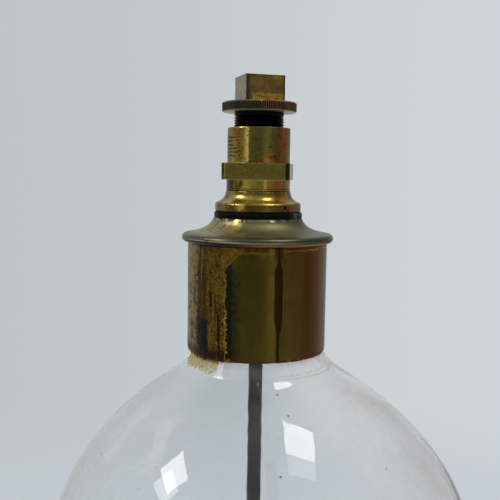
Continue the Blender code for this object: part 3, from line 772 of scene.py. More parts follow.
def barrel_brass():
    """Worn turned brass with a different stain on every part of it, and a few painted highlights."""
    m = Metal("barrel_brass", (0.5, 0.375, 0.085), 0.28)
    cloud = m.noise(170, 70, 5, 0.65, 0.6, stretch=0.7)
    m.lay((0.38, 0.29, 0.06), 0.32, m.smooth(cloud, 0.44, 0.62))
    back = behind(m, 74, 100)
    marks = barrel_upper(m)
    barrel_band(m)
    barrel_lower(m)
    m.lay((0.44, 0.33, 0.085), 0.32, back, 0.9)
    m.lay(UMBER, 0.42, back, m.patches(0.5, 0.6, 120, 78, 5, 0.6, 0.8, stretch=0.5))
    specks = m.times(m.patches(0.58, 0.64, 1300, 80, 4, 0.7), m.patches(0.42, 0.58, 200, 81, 2))
    m.lay((0.08, 0.042, 0.012), 0.55, specks)
    turned_marks(m, 0.0003, 0.12, 13)
    fine_wear(m, 14)
    m.raise_by(1 - marks, 0.00005, 0.8)
    return m.done(0.12, 0.22)


def flange_brass():
    """Dark green-grey knurling, copper red on the right, with black grooves between the teeth."""
    m = Metal("flange_brass", (0.15, 0.165, 0.1), 0.4)
    cloud = m.noise(220, 90, 5, 0.6, 0.5)
    m.lay((0.22, 0.175, 0.09), 0.38, m.smooth(cloud, 0.45, 0.62))
    right = m.times(m.smooth(m.angle + m.drift(200, 16, 91), 0, 26), m.turn(120, 90))
    m.lay((0.44, 0.215, 0.11), 0.4, right, m.patches(0.36, 0.52, 300, 92, 4))
    m.lay((0.75, 0.36, 0.075), 0.38, right, m.patches(0.58, 0.64, 620, 94, 4, 0.7))
    gold = m.times(m.side(0, 10, 6), m.patches(0.55, 0.61, 520, 95, 4, 0.7))
    m.lay((0.58, 0.42, 0.1), 0.34, gold)
    groove = m.smooth(m.radius, FLANGE_RADIUS - 0.0001, FLANGE_RADIUS - 0.00022)
    side = m.times(m.near(m.z, (FLANGE_TOP + FLANGE_BOTTOM) / 2, 0.0014, 0.0002),
                   m.smooth(m.radius, FLANGE_RADIUS - 0.00063, FLANGE_RADIUS - 0.00043))
    m.lay((0.022, 0.02, 0.014), 0.5, side, groove, 0.85)
    m.lay((0.4, 0.37, 0.26), 0.4, m.rise(FLANGE_BOTTOM + 0.0004, FLANGE_BOTTOM + 0.0001))
    fine_wear(m, 16)
    return m.done(0.12, 0.3)


def head_brass():
    """Flat faces: pale on the left, brown then orange on the right, with blackened edges."""
    m = Metal("head_brass", (0.5, 0.345, 0.105), 0.36)
    cloud = m.noise(260, 100, 5, 0.6, 0.5)
    m.lay((0.42, 0.285, 0.08), 0.4, m.smooth(cloud, 0.42, 0.6))
    right = m.side(HEAD_TURN, 45, 0.5)
    left = m.side(HEAD_TURN - 90, 45, 0.5)
    m.lay((0.42, 0.4, 0.265), 0.42, left, 0.9)
    m.lay((0.3, 0.27, 0.16), 0.5, left, m.patches(0.5, 0.64, 500, 101, 4, 0.65), 0.6)
    warm = m.times(right, m.side(14, 13, 10), m.patches(0.42, 0.58, 210, 103, 4))
    m.lay((0.6, 0.36, 0.08), 0.36, warm, 0.7)
    low = m.smooth(m.z + m.drift(230, 0.0016, 99), FLANGE_TOP + 0.0034, FLANGE_TOP + 0.0028)
    m.lay((1, 0.6, 0.105), 0.3, low, right, m.turn(-19, -14), 0.95)
    m.lay((0.6, 0.26, 0.045), 0.38, low, right, m.smooth(cloud, 0.56, 0.64), 0.6)
    corner = m.times(m.rise(HEAD_TOP - 0.004, HEAD_TOP - 0.001), m.side(49, 8, 6),
                     m.patches(0.44, 0.54, 560, 102, 4, 0.65))
    m.lay((0.8, 0.5, 0.085), 0.34, corner)
    m.lay((0.3, 0.07, 0.02), 0.4, m.side(49, 8, 6), m.patches(0.58, 0.64, 1300, 107, 3, 0.6), 0.8)
    rings = m.cells(520, 104, feature="DISTANCE_TO_EDGE")
    m.lay((0.14, 0.085, 0.03), 0.5, right, m.smooth(rings, 0.05, 0.02), m.patches(0.5, 0.6, 220, 105, 3),
          0.5)
    corner_angle = m.angle + m.drift(260, 2.4, 108)
    band = m.times(m.smooth(corner_angle, HEAD_TURN - 45.3, HEAD_TURN - 44.6),
                   m.smooth(corner_angle, HEAD_TURN - 34, HEAD_TURN - 43))
    m.lay((0.125, 0.118, 0.062), 0.42, band, 0.9)
    stain = m.patches(0.52, 0.62, 300, 98, 5, 0.7, 0.4, stretch=1.5)
    m.lay((0.26, 0.155, 0.045), 0.44, right, stain, 0.5)
    m.lay((0.085, 0.045, 0.014), 0.45, m.side(HEAD_TURN + 44.5, 2.2, 1.6), 0.6)
    face = m.rise(HEAD_TOP - 0.0001, HEAD_TOP - 0.00004)
    filed = m.noise(1100, 111, 3, 0.6, stretch=(1, 0.08, 1))
    m.lay((0.4, 0.285, 0.095), 0.4, face)
    m.lay((0.23, 0.14, 0.045), 0.46, face, m.patches(0.44, 0.58, 280, 112, 5, 0.65, 0.5))
    m.lay((0.58, 0.43, 0.15), 0.34, face, m.smooth(filed, 0.52, 0.6), 0.6)
    m.raise_by(m.times(face, filed), 0.00003, 0.5)
    top = m.smooth(m.z + m.drift(400, 0.0003, 109), HEAD_TOP - 0.00045, HEAD_TOP - 0.00025)
    m.lay((0.05, 0.04, 0.02), 0.45, top, 1 - face, 0.9)
    fine_wear(m, 18)
    m.raise_by(m.noise(1700, 106, 2, 0.6, stretch=0.05), 0.00003, 0.3)
    return m.done(0.12, 0.25)


def inner_brass():
    m = Metal("inner_brass", (0.58, 0.42, 0.15), 0.38)
    m.lay((0.34, 0.22, 0.08), 0.45, m.patches(0.45, 0.62, 180, 110, 5, 0.6))
    fine_wear(m, 20)
    turned_marks(m, 0.0003, 0.15, 21)
    return m.done(0.1, 0.3)


def blackened():
    """The thread: black with old oil, a little brass showing on its crests."""
    m = Metal("blackened_thread", (0.006, 0.0065, 0.007), 0.32)
    crest = m.smooth(m.radius, SHANK_RADIUS - 0.00012, SHANK_RADIUS - 0.00002)
    m.lay((0.06, 0.05, 0.03), 0.32, crest, m.patches(0.52, 0.62, 400, 120, 4))
    m.raise_by(m.noise(1400, 121, 4, 0.6), 0.00004, 0.5)
    return m.done(0, 0.3)


def leather(name, seed, grey_angle):
    """Oil-black leather, with a rubbed grey place at one angle."""
    n = Material(name)
    pores = n.cells(1300, seed, stretch=1.6)
    folds = n.noise(500, seed + 1, 5, 0.65, stretch=2)
    dust = n.patches(0.55, 0.75, 700, seed + 2, 4, 0.7)
    rubbed = n.times(n.side(grey_angle, 12, 12), n.smooth(folds, 0.36, 0.56))
    colour = n.mix(n.times(dust, 0.25), (0.003, 0.0036, 0.004), (0.022, 0.024, 0.025))
    colour = n.mix(n.times(rubbed, 0.8), colour, (0.085, 0.08, 0.075))
    rough = n.mix(dust, 0.5, 0.8)
    normal = n.bump(pores, 0.00012, 0.6)
    normal = n.bump(folds, 0.0003, 0.8, normal)
    return n.finish(n.surface(colour, rough, normal, {"Specular IOR Level": 0.1}))


def tube_iron():
    """Drawn iron tube: near black, with long faint streaks and a thin bloom of rust."""
    m = Metal("tube_iron", (0.006, 0.007, 0.008), 0.5, 0.9)
    streaks = m.noise(700, 130, 4, 0.6, stretch=0.03)
    m.lay((0.018, 0.021, 0.025), 0.55, m.rise(NECK_FOOT - 0.0004, NECK_FOOT - 0.0614))
    m.lay((0.027, 0.03, 0.034), 0.6, m.smooth(streaks, 0.45, 0.62), 0.7)
    blotches = m.noise(260, 131, 5, 0.65, stretch=0.4)
    m.lay((0.005, 0.006, 0.007), 0.5, m.smooth(blotches, 0.52, 0.64), 0.7)
    m.lay((0.09, 0.06, 0.045), 0.8, m.patches(0.66, 0.74, 800, 132, 4, 0.7), 0.6, metal=0)
    chips = m.smooth(m.cells(240, 134), 0.12, 0.09)
    m.lay((0.6, 0.6, 0.58), 0.7, chips, m.rise(NECK_FOOT - 0.0064, NECK_FOOT - 0.0114), metal=0)
    m.raise_by(m.noise(1200, 133, 5, 0.65, stretch=0.25), 0.00008, 0.6)
    return m.done(0, 0.3)


def old_plaster():
    n = Material("old_plaster")
    stain = n.noise(260, 140, 5, 0.65, 0.5)
    colour = n.mix(n.smooth(stain, 0.4, 0.62), (0.74, 0.66, 0.55), (0.62, 0.4, 0.1))
    colour = n.mix(n.patches(0.58, 0.68, 700, 141, 4, 0.7), colour, (0.3, 0.16, 0.04))
    normal = n.bump(n.noise(1800, 142, 4, 0.7), 0.0002, 0.7)
    return n.finish(n.surface(colour, n.mix(stain, 0.75, 0.9), normal, {
        "Subsurface Weight": 0.1, "Subsurface Scale": 0.001}))


def shellac():
    """Yellow residue dried on the glass in thin streaks, darker in spots."""
    n = Material("shellac_residue")
    spots = n.noise(900, 150, 5, 0.7, 0.5)
    streaks = n.noise(700, 151, 4, 0.6, 0.3, stretch=0.45)
    colour = n.mix(n.smooth(spots, 0.44, 0.6), (0.74, 0.6, 0.15), (0.44, 0.28, 0.045))
    colour = n.mix(n.smooth(spots, 0.62, 0.7), colour, (0.16, 0.075, 0.02))
    colour = n.mix(n.smooth(streaks, 0.6, 0.7), colour, (0.8, 0.76, 0.58))
    normal = n.bump(n.noise(1200, 152, 4, 0.6), 0.0002, 0.6)
    coat = n.surface(colour, n.mix(spots, 0.3, 0.6), normal)
    clear = n.put("BsdfTransparent", {})
    fade = n.smooth(n.z + n.drift(500, 0.004, 153), COLLAR_BOTTOM - 0.0062, COLLAR_BOTTOM - 0.003)
    thin = n.times(n.mix(n.smooth(streaks, 0.4, 0.58), 0.3, 0.8), fade)
    return n.finish(n.blend(thin, clear, coat))


def cork():
    n = Material("cork_grain")
    pits = n.cells(900, 160)
    grain = n.noise(500, 161, 5, 0.7)
    colour = n.mix(n.smooth(grain, 0.35, 0.65), (0.5, 0.31, 0.17), (0.34, 0.19, 0.09))
    colour = n.mix(n.smooth(pits, 0.25, 0.1), colour, (0.12, 0.06, 0.03))
    return n.finish(n.surface(colour, n.mix(grain, 0.8, 0.95), n.bump(pits, 0.0003, 0.8)))


def cotton(name, seed):
    n = Material(name)
    threads = n.noise(2600, seed, 3, 0.6, stretch=0.35)
    stain = n.noise(160, seed + 1, 4, 0.6)
    colour = n.mix(n.smooth(stain, 0.4, 0.65), (0.72, 0.64, 0.48), (0.5, 0.38, 0.22))
    colour = n.mix(n.smooth(threads, 0.5, 0.7), colour, (0.84, 0.79, 0.66))
    colour = n.mix(n.rise(WICK_TOP - 0.0035, WICK_TOP - 0.001), colour, (0.02, 0.018, 0.016))
    normal = n.bump(threads, 0.0003, 0.9)
    return n.finish(n.surface(colour, n.mix(stain, 0.85, 0.98), normal, {"Sheen Weight": 0.3}))


def iron_wire():
    m = Metal("iron_wire", (0.16, 0.15, 0.14), 0.5, 0.9)
    m.lay((0.2, 0.09, 0.04), 0.8, m.patches(0.5, 0.65, 400, 170, 4), metal=0.1)
    return m.done(0, 0.3)


def blown_glass():
    """Clear glass with a thin uneven film, a milky foot to its neck, brown haze, a few specks, and painted
    shade in front below the neck.
    """
    n = Material("blown_glass")
    facing = n.put("LayerWeight", {"Blend": 0.25}, "Facing")
    cords = n.noise(30, 180, 2, 0.5, 0.8, stretch=0.45)
    normal = n.bump(cords, 0.001, n.mix(facing, 0.2, 0.03))
    # Painted shade: a darker tint on the globe's front below the neck, standing in for the collar's dark
    # refracted image.
    collar_image_shade = n.times(n.side(-8, 14, 34), n.rise(NECK_FOOT - 0.0364, NECK_FOOT - 0.0024))
    tint = n.mix(n.smooth(n.x, -0.02, 0.05), (0.955, 0.962, 0.965), (0.985, 0.985, 0.985))
    tint = n.mix(collar_image_shade, tint, (0.8, 0.82, 0.83))
    glass = n.surface(tint, 0, normal, {"IOR": 1.46, "Transmission Weight": 1})
    smear = n.noise(26, 182, 5, 0.6, 0.8, stretch=0.5)
    film = n.times(n.smooth(smear, 0.4, 0.72), n.mix(facing, 0.018, 0.1))
    wisps = n.times(n.patches(0.54, 0.6, 75, 190, 3, 0.5, 0.7, stretch=0.28), n.side(-52, 13, 10),
                    n.rise(NECK_FOOT - 0.0064, NECK_FOOT - 0.0164), 0.11)
    film = n.either(film, wisps)
    strokes = n.noise(420, 186, 4, 0.6, 0.3, stretch=(0.9, 0.9, 0.25))
    milky = n.times(n.rise(NECK_FOOT - 0.0012, NECK_FOOT + 0.001),
                    n.mix(n.smooth(abs(n.angle), 5, 36), 0.12, 1),
                    n.mix(n.smooth(strokes, 0.35, 0.65), 0.2, 0.38))
    groove = n.times(n.near(n.z, NECK_FOOT + 0.0004, 0.0001, 0.00022), n.turn(12, 40), 0.5)
    turn = n.angle + n.drift(60, 30, 187)
    side = n.either(n.near(turn, 86, 20, 30), n.times(n.near(turn, -88, 14, 24), 0.45))
    dusty = n.noise(300, 188, 5, 0.75, 0.4, stretch=0.6)
    brown = n.times(side, n.rise(NECK_FOOT + 0.001, NECK_FOOT - 0.006),
                    n.rise(EQUATOR - 0.0165, EQUATOR + 0.0435),
                    n.mix(n.smooth(smear, 0.35, 0.65), 0.05, 0.2),
                    n.mix(n.smooth(dusty, 0.4, 0.62), 0.55, 1))
    specks = n.times(n.smooth(n.cells(105, 184), 0.048, 0.036), n.patches(0.48, 0.51, 40, 185, 2))
    dust = n.put("BsdfDiffuse", {"Color": (0.84, 0.79, 0.76, 1)})
    haze = n.put("BsdfDiffuse", {"Color": (0.44, 0.37, 0.26, 1)})
    dirt = n.put("BsdfDiffuse", {"Color": (0.07, 0.06, 0.05, 1)})
    surface = n.blend(n.either(film, milky), glass, dust)
    surface = n.blend(n.either(brown, groove), surface, haze)
    surface = n.blend(n.times(specks, 0.85), surface, dirt)
    shadow = n.put("LightPath", {}, "Is Shadow Ray")
    clear = n.put("BsdfTransparent", {"Color": (0.93, 0.95, 0.95, 1)})
    return n.finish(n.blend(shadow, surface, clear))


# Pieces of the reservoir

def wall_thickness(z):
    rise = min(max((z - EQUATOR) / (NECK_FOOT - EQUATOR), 0), 1)
    fall = min(max((EQUATOR - z) / EQUATOR, 0), 1)
    return WALL_SIDE + (WALL_NECK - WALL_SIDE) * rise + (WALL_FLOOR - WALL_SIDE) * fall


def lean(z):
    """How far the globe's own middle is from x = 0 at a height."""
    fall = np.clip((FLARE_TOP - z) / (FLARE_TOP - EQUATOR), 0, 1)
    return AXIS_X * (1 - fall ** LEAN_POWER)


def lip_arc(start, end, steps):
    """The rounded lip of the neck, from one angle to another."""
    half = WALL_NECK / 2
    return arc((NECK_RADIUS - half, LIP_TOP - half), half, start, end, steps)


def globe_outside():
    """The outside of the globe, from the neck's lip to the middle of the punt."""
    lip = lip_arc(90, 0, 8)
    across, down = math.cos(SHOULDER_SLOPE), math.sin(SHOULDER_SLOPE)
    corner = np.array([NECK_FOOT_RADIUS, NECK_FOOT])
    flare_way = corner - (NECK_RADIUS, FLARE_TOP)
    flare_way /= np.linalg.norm(flare_way)
    flare_foot = tuple(corner - flare_way * NECK_FOOT_BEND)
    start = (NECK_FOOT_RADIUS + NECK_FOOT_BEND * across, NECK_FOOT - NECK_FOOT_BEND * down)
    neck = rounded([lip[-1], (NECK_RADIUS, FLARE_TOP), flare_foot], 0.0012, 6, closed=False)
    neck = fine(neck, 0.0009, closed=False)[1:-1]
    bend = bezier(flare_foot, corner, corner, start, 9)
    shoulder = bezier(
        start,
        (start[0] + SHOULDER_PULL * across, start[1] - SHOULDER_PULL * down),
        (GLOBE_RADIUS, EQUATOR + EQUATOR_PULL),
        (GLOBE_RADIUS, EQUATOR),
        60,
    )
    quarter = np.linspace(0, math.pi / 2, 49)
    belly = [(FOOT_RING_OUTER + (GLOBE_RADIUS - FOOT_RING_OUTER) * math.cos(a),
              EQUATOR * (1 - math.sin(a))) for a in quarter]
    ring = fine([belly[-1], (FOOT_RING_INNER, 0.0)], 0.0012, closed=False)[1:-1]
    punt = [(FOOT_RING_INNER * math.cos(a), PUNT_HEIGHT * math.sin(a) ** 2)
            for a in np.linspace(0, math.pi / 2, 17)[:-1]]
    return lip + neck + bend + shoulder[1:] + belly[1:] + ring + punt + [(0.0, PUNT_HEIGHT)]


OUTSIDE = np.array([p for p in globe_outside() if p[1] > EQUATOR])[::-1]


def surface_radius(z):
    return float(np.interp(z, OUTSIDE[:, 1], OUTSIDE[:, 0]))


def make_globe():
    """The blown globe, with its own wall thickness at each height, leaning from the brass axis."""
    outside = globe_outside()
    inside = offset(outside, [-wall_thickness(point[1]) for point in outside])
    inside = [point for point, (r, z) in zip(inside, outside) if z < LIP_TOP - WALL_NECK / 2 and r > 0]
    inside.append((0.0, PUNT_HEIGHT + WALL_FLOOR))
    outline = inside[::-1] + lip_arc(180, 96, 7) + outside

    def blown(r, z, theta):
        below = np.clip((NECK_FOOT - z) / 0.03, 0, 1) * np.clip(z / 0.02, 0, 1)
        return r + below * ripple(theta, z, 0.00016, 7, 6, 3, 60.0), z

    mesh = lathe(outline, 224, blown, axis_x=0.0)
    points = np.empty(len(mesh.vertices) * 3)
    mesh.vertices.foreach_get("co", points)
    points = points.reshape(-1, 3)
    points[:, 0] += lean(points[:, 2])
    mesh.vertices.foreach_set("co", points.ravel())
    new_piece("blown_globe", mesh, blown_glass(), "reservoir", "clear_glass", "glass_globe")


def make_cement():
    """Plaster that fills the collar round the neck, with a ragged lower edge."""
    top = span("neck_cement")[2]
    outer = COLLAR_RADIUS - 0.0011
    bottom = COLLAR_BOTTOM + 0.0008
    heights = bottom + (top - bottom) * np.linspace(0, 1, 22) ** 2
    inner = [(surface_radius(z) + 0.00025, float(z)) for z in heights]
    outline = [(outer, top), *[(outer, float(z)) for z in heights[::-1][1:]], *inner]

    def ragged(r, z, theta):
        near_bottom = np.clip((bottom + 0.002 - z) / 0.002, 0, 1)
        return r, z + near_bottom * ripple(theta, z * 0, 0.0003, 11, 9, 24)

    mesh = lathe(outline, 160, ragged)
    new_piece("plaster_ring", mesh, old_plaster(), "reservoir", "old_plaster", "neck_cement")


def make_residue(name, centre, width, drop, seed):
    """A dried run of shellac lying on the glass below the collar."""
    columns, rows = 34, 16
    top = COLLAR_BOTTOM + 0.0004
    draw = np.random.default_rng(seed)
    phases = draw.uniform(0, 6.28, 4)
    vertices = []
    for side in (0, 1):
        for j in range(rows + 1):
            for i in range(columns + 1):
                across = i / columns * 2 - 1
                ragged = 0.1 * math.sin(5 * across + phases[0]) + 0.07 * math.sin(13 * across + phases[1])
                length = drop * max(0.05, (1 - abs(across) ** 10) * (0.86 + 0.7 * ragged))
                z = top - length * j / rows
                angle = math.radians(centre + width / 2 * across * (1 - 0.12 * (j / rows) ** 2))
                edge = (1 - across ** 2) * (1 - (j / rows) ** 6)
                lump = 1 + 0.35 * math.sin(9 * across + 5 * j / rows + phases[2])
                thick = 0.00006 + (0.00016 * edge * lump if side else 0.0)
                r = surface_radius(z) + thick
                vertices.append((lean(z) + r * math.sin(angle), -r * math.cos(angle), z))
    grid = (rows + 1) * (columns + 1)
    faces = []
    for j in range(rows):
        for i in range(columns):
            a = j * (columns + 1) + i
            b = a + columns + 1
            faces.append((a, a + 1, b + 1, b))
            faces.append((grid + a, grid + b, grid + b + 1, grid + a + 1))
    rim = list(range(columns + 1))
    rim += [j * (columns + 1) + columns for j in range(1, rows + 1)]
    rim += [rows * (columns + 1) + i for i in range(columns - 1, -1, -1)]
    rim += [j * (columns + 1) for j in range(rows - 1, 0, -1)]
    for a, b in zip(rim, rim[1:] + rim[:1]):
        faces.append((a, grid + a, grid + b, b))
    mesh = bpy.data.meshes.new(name)
    mesh.from_pydata(vertices, [], faces)
    mesh.shade_smooth()
    new_piece(name, mesh, RESIDUE, "reservoir", "old_plaster")


def make_collar():
    """A tube with a turned-in lower edge, slightly out of round and dented."""
    wall = 0.0009
    inner = COLLAR_RADIUS - wall
    outline = [(inner, COLLAR_TOP + 0.0003), (COLLAR_RADIUS, COLLAR_TOP + 0.0003),
               (COLLAR_RADIUS, COLLAR_BOTTOM + 0.001), (COLLAR_RADIUS - 0.0002, COLLAR_BOTTOM),
               (inner, COLLAR_BOTTOM)]
    outline = fine(rounded(outline, 0.00075), 0.0007)

    def dented(r, z, theta):
        low = np.clip((COLLAR_BOTTOM + 0.004 - z) / 0.004, 0, 1)
        ragged = low ** 3 * ripple(theta, z * 0, 0.0001, 3, 9, 30)
        front = np.degrees(theta) - 270
        crust = low ** 2 * np.exp(-((front + 46) / 24) ** 2)
        ragged -= crust * (0.0003 + np.abs(ripple(theta, z * 0, 0.00042, 8, 12, 90)))
        swell = crust * (0.00012 + ripple(theta, z, 0.00008, 9, 12, 80, 900.0))
        return r + swell + ripple(theta, z, 0.000035, 21, 9, 8, 200.0), z + ragged

    mesh = lathe(outline, 512, dented)
    new_piece("collar_tube", mesh, collar_brass(), "reservoir", "tarnished_brass", "collar")


def make_cap():
    """A spun sheet with a flat seat, a hollow sweep and a rolled rim."""
    half = SHEET / 2
    ring = CAP_RADIUS - RIM_RADIUS
    centre_z = CAP_BOTTOM + RIM_RADIUS
    hole, seat_edge = 0.0123, 0.0163
    seat = fine([(hole, CAP_TOP - half), (seat_edge, CAP_TOP - half)], 0.001, closed=False)[:-1]
    rim_top = (ring, centre_z + RIM_RADIUS - half)
    sweep = bezier((0.0165, CAP_TOP - half), (0.0178, 0.2187), (0.0214, 0.2173), rim_top, 26)
    curl = arc((ring, centre_z), RIM_RADIUS - half, 90, -195, 30)
    outline = sheet_outline(seat + sweep + curl[1:], SHEET)
    mesh = lathe(outline, 288, uneven(0.00003, 31, waves=8, around=9, along=150.0))
    new_piece("spun_cap", mesh, cap_brass(), "reservoir", "dull_brass", "collar_cap")


def make_bush():
    """The threaded boss in the cap's hole, with its plate under the sheet."""
    bore, neck, plate, bottom = 0.0088, 0.012, 0.0153, 0.212
    plate_top, plate_bottom = CAP_TOP - 0.0011, CAP_TOP - 0.0031
    outline = [(bore, CAP_TOP), (neck, CAP_TOP), (neck, plate_top), (plate, plate_top),
               (plate, plate_bottom), (neck, plate_bottom), (neck, bottom), (bore, bottom)]
    outline = fine(rounded(outline, 0.0002), 0.0004)

    def threaded(r, z, theta):
        cut = (r < bore + 0.0001) * np.clip((CAP_TOP - 0.0004 - z) / 0.0004, 0, 1)
        return r + cut * thread_wave(z, theta) * THREAD_DEPTH * 0.8, z

    mesh = lathe(outline, 128, threaded)
    new_piece("threaded_bush", mesh, INNER_BRASS, "reservoir", "bush_brass", "cap_bush")


# Pieces of the burner

def thread_wave(z, theta):
    """0 at a right-hand thread's root and 1 at its crest."""
    turn = (z / THREAD_PITCH - theta / math.tau) % 1.0
    ridge = 1 - np.abs(turn * 2 - 1)
    return np.clip((ridge - 0.12) / 0.76, 0, 1)


def make_washer():
    """Leather squeezed between two flat faces, so that its edge bulges unevenly."""
    bottom, top = WASHER_BOTTOM - 0.00025, WASHER_TOP + 0.00025
    mid = (bottom + top) / 2
    hole, outer = 0.0089, WASHER_RADIUS
    outline = [(hole, top), (outer - 0.0005, top), (outer - 0.0001, top - 0.0004), (outer + 0.0001, mid),
               (outer - 0.0001, bottom + 0.0004), (outer - 0.0005, bottom), (hole, bottom)]
    outline = fine(rounded(outline, 0.0003), 0.0003)

    def squeezed(r, z, theta):
        edge = np.clip((r - outer + 0.002) / 0.002, 0, 1)
        front = np.degrees(theta) - 270
        bulge = 0.00035 * np.exp(-((front - 72) / 22) ** 2) + 0.00022 * np.exp(-((front + 60) / 18) ** 2)
        sag = np.clip((mid - z) / 0.0006, 0, 1) * np.clip((r - outer + 0.0009) / 0.0005, 0, 1)
        sag = sag * (0.0005 + np.abs(ripple(theta, z * 0, 0.00034, 43, 12, 22)))
        return r + edge * (bulge + ripple(theta, z, 0.00011, 41, 12, 17, 400.0)), z - sag

    mesh = lathe(outline, 256, squeezed)
    new_piece("leather_washer", mesh, leather("oiled_leather", 200, 66), "burner_seal", "black_leather",
              "burner_washer")


def make_foot():
    """The flared foot, with the socket for the barrel above and the threaded spigot below."""
    spigot, socket, bore, gland = 0.0085, 0.0093, 0.003, 0.0046
    gland_top, socket_floor = 0.2175, 0.2272
    flare = bezier((0.01225, FOOT_TOP - 0.0003), (0.0125, 0.2306), (0.0134, 0.2291), (0.0157, RIB_TOP), 22)
    outline = [(socket, FOOT_TOP), (0.01205, FOOT_TOP), *flare, (FOOT_RADIUS, 0.2278),
               (FOOT_RADIUS, FOOT_BOTTOM + 0.0002), (FOOT_RADIUS - 0.0003, FOOT_BOTTOM),
               (spigot, FOOT_BOTTOM), (spigot, SPIGOT_BOTTOM), (gland, SPIGOT_BOTTOM), (gland, gland_top),
               (bore, gland_top), (bore, socket_floor), (socket, socket_floor)]
    outline = fine(rounded(outline, 0.00018, 2), 0.00035)

    def threaded(r, z, theta):
        outside = (np.abs(r - spigot) < 0.00005) * (z < FOOT_BOTTOM - 0.0012)
        ease = np.clip((z - SPIGOT_BOTTOM - 0.0002) / 0.0006, 0, 1)
        return r - outside * ease * (1 - thread_wave(z, theta)) * THREAD_DEPTH, z

    mesh = lathe(outline, 192, threaded)
    new_piece("flared_foot", mesh, foot_brass(), "burner", "foot_brass", "burner_foot")


def square_radius(theta, half, corner, turn):
    """Radius of a square's side in each direction, its corners turned down to a circle."""
    local = (theta - turn + math.pi / 4) % (math.pi / 2) - math.pi / 4
    return np.minimum(half / np.cos(local), corner)


def make_barrel():
    """The barrel, its square band, its well cut with the stopper's thread, and its spigot."""
    barrel, waist, well, bore = 0.01185, 0.01207, 0.0096, 0.003
    spigot, spigot_bottom, floor = 0.009, 0.2275, 0.2432
    chamfer, band = 0.00025, 1.0
    outline = [(well + 0.0008, BARREL_TOP), (barrel - 0.0002, BARREL_TOP), (barrel, BARREL_TOP - 0.0003),
               (barrel, BAND_TOP + 0.0003), (barrel + 0.0001, BAND_TOP)]
    outline = fine(rounded(outline, 0.00015, 2, closed=False), 0.0006, closed=False)
    inset = [(0.35, 0), (0.7, 0), (1 - chamfer / barrel, 0), (1, chamfer)]
    rows = [(band + share, BAND_TOP - drop) for share, drop in inset]
    rows += [(band + 1, z) for z in np.linspace(BAND_TOP - chamfer, BAND_BOTTOM + chamfer, 12)[1:-1]]
    rows += [(band + share, BAND_BOTTOM + drop) for share, drop in inset[::-1]]
    below = [(waist + 0.0001, BAND_BOTTOM), (waist, BAND_BOTTOM - 0.0003), (waist, FOOT_TOP + 0.0003),
             (waist - 0.0002, FOOT_TOP + 0.00005), (spigot, FOOT_TOP + 0.00005), (spigot, spigot_bottom),
             (bore, spigot_bottom), (bore, floor), (well, floor), (well, BARREL_TOP - 0.0008)]
    below = fine(rounded(below, 0.00012, 2, closed=False), 0.0003, closed=False)
    outline = outline + rows + below

    def squared(r, z, theta):
        on_band = r > 0.5
        share = r - band
        square = square_radius(theta, BAND_HALF, BAND_CORNER, BAND_TURN)
        core = np.where(z > (BAND_TOP + BAND_BOTTOM) / 2, barrel, waist)
        radii = np.where(on_band, core + (square - core) * share, r)
        inside = (np.abs(r - well) < 0.00005) * (z > floor + 0.001)
        radii = radii - inside * (1 - thread_wave(z, theta)) * 0.00035
        return radii, z

    mesh = lathe(outline, 384, squared)
    new_piece("turned_barrel", mesh, barrel_brass(), "burner", "barrel_brass", "burner_barrel")


def make_tube():
    bore = 0.0023
    outline = [(bore, TUBE_TOP), (TUBE_RADIUS, TUBE_TOP), (TUBE_RADIUS, TUBE_BOTTOM), (bore, TUBE_BOTTOM)]
    outline = fine(rounded(outline, 0.0002), 0.0015)
    mesh = lathe(outline, 64, uneven(0.00003, 51, waves=8, around=4, along=240.0))
    new_piece("drawn_tube", mesh, tube_iron(), "burner", "dark_iron", "wick_tube")


def make_wick():
    """Three strands plaited round each other, with short frayed ends below."""
    turns_per_metre = 130.0
    strands = []
    for k in range(3):
        phase = k * math.tau / 3
        points = []
        for z in np.linspace(WICK_BOTTOM + 0.001, WICK_TOP - 0.0002, 300):
            a = phase + math.tau * turns_per_metre * z
            points.append((AXIS_X + 0.00082 * math.cos(a), 0.00082 * math.sin(a), z))
        strands.append((points, 0.001))
    draw = np.random.default_rng(5)
    for _ in range(26):
        a, out = draw.uniform(0, math.tau), draw.uniform(0.0004, 0.0017)
        start = WICK_BOTTOM + draw.uniform(0.0015, 0.003)
        end = WICK_BOTTOM + draw.uniform(0.0, 0.0008)
        middle = (start + end) / 2
        points = [(AXIS_X + math.cos(a) * reach, math.sin(a) * reach, z)
                  for reach, z in ((0.0009, start), (0.001 + out * 0.3, middle), (0.0006 + out, end))]
        strands.append((points, 0.00013))
    curve = bpy.data.curves.new("plaited_wick", "CURVE")
    curve.dimensions = "3D"
    curve.bevel_depth = 1.0
    curve.bevel_resolution = 3
    curve.use_fill_caps = True
    for points, thickness in strands:
        spline = curve.splines.new("POLY")
        spline.points.add(len(points) - 1)
        for point, place in zip(spline.points, points):
            point.co = (*place, 1.0)
            point.radius = thickness
    holder = add_object("wick_curve", curve)
    graph = bpy.context.evaluated_depsgraph_get()
    mesh = bpy.data.meshes.new_from_object(holder.evaluated_get(graph))
    bpy.data.objects.remove(holder)
    mesh.shade_smooth()
    mesh.materials.clear()
    new_piece("plaited_wick", mesh, cotton("cotton_wick", 210), "burner", "cotton", "wick")


# Pieces of the stopper

def make_stopper_washer():
    bottom, top, hole = RING_BOTTOM + 0.0007, RING_TOP + 0.00025, 0.007
    outline = [(hole, top), (RING_RADIUS - 0.0002, top), (RING_RADIUS, top - 0.0003),
               (RING_RADIUS, bottom + 0.0003), (RING_RADIUS - 0.0002, bottom), (hole, bottom)]
    outline = fine(rounded(outline, 0.0003), 0.0003)
    mesh = lathe(outline, 160, uneven(0.00004, 61, waves=10, around=14, along=500.0))
    new_piece("leather_ring", mesh, leather("stopper_leather", 220, 200), "stopper_seal", "stopper_leather",
              "stopper_washer")


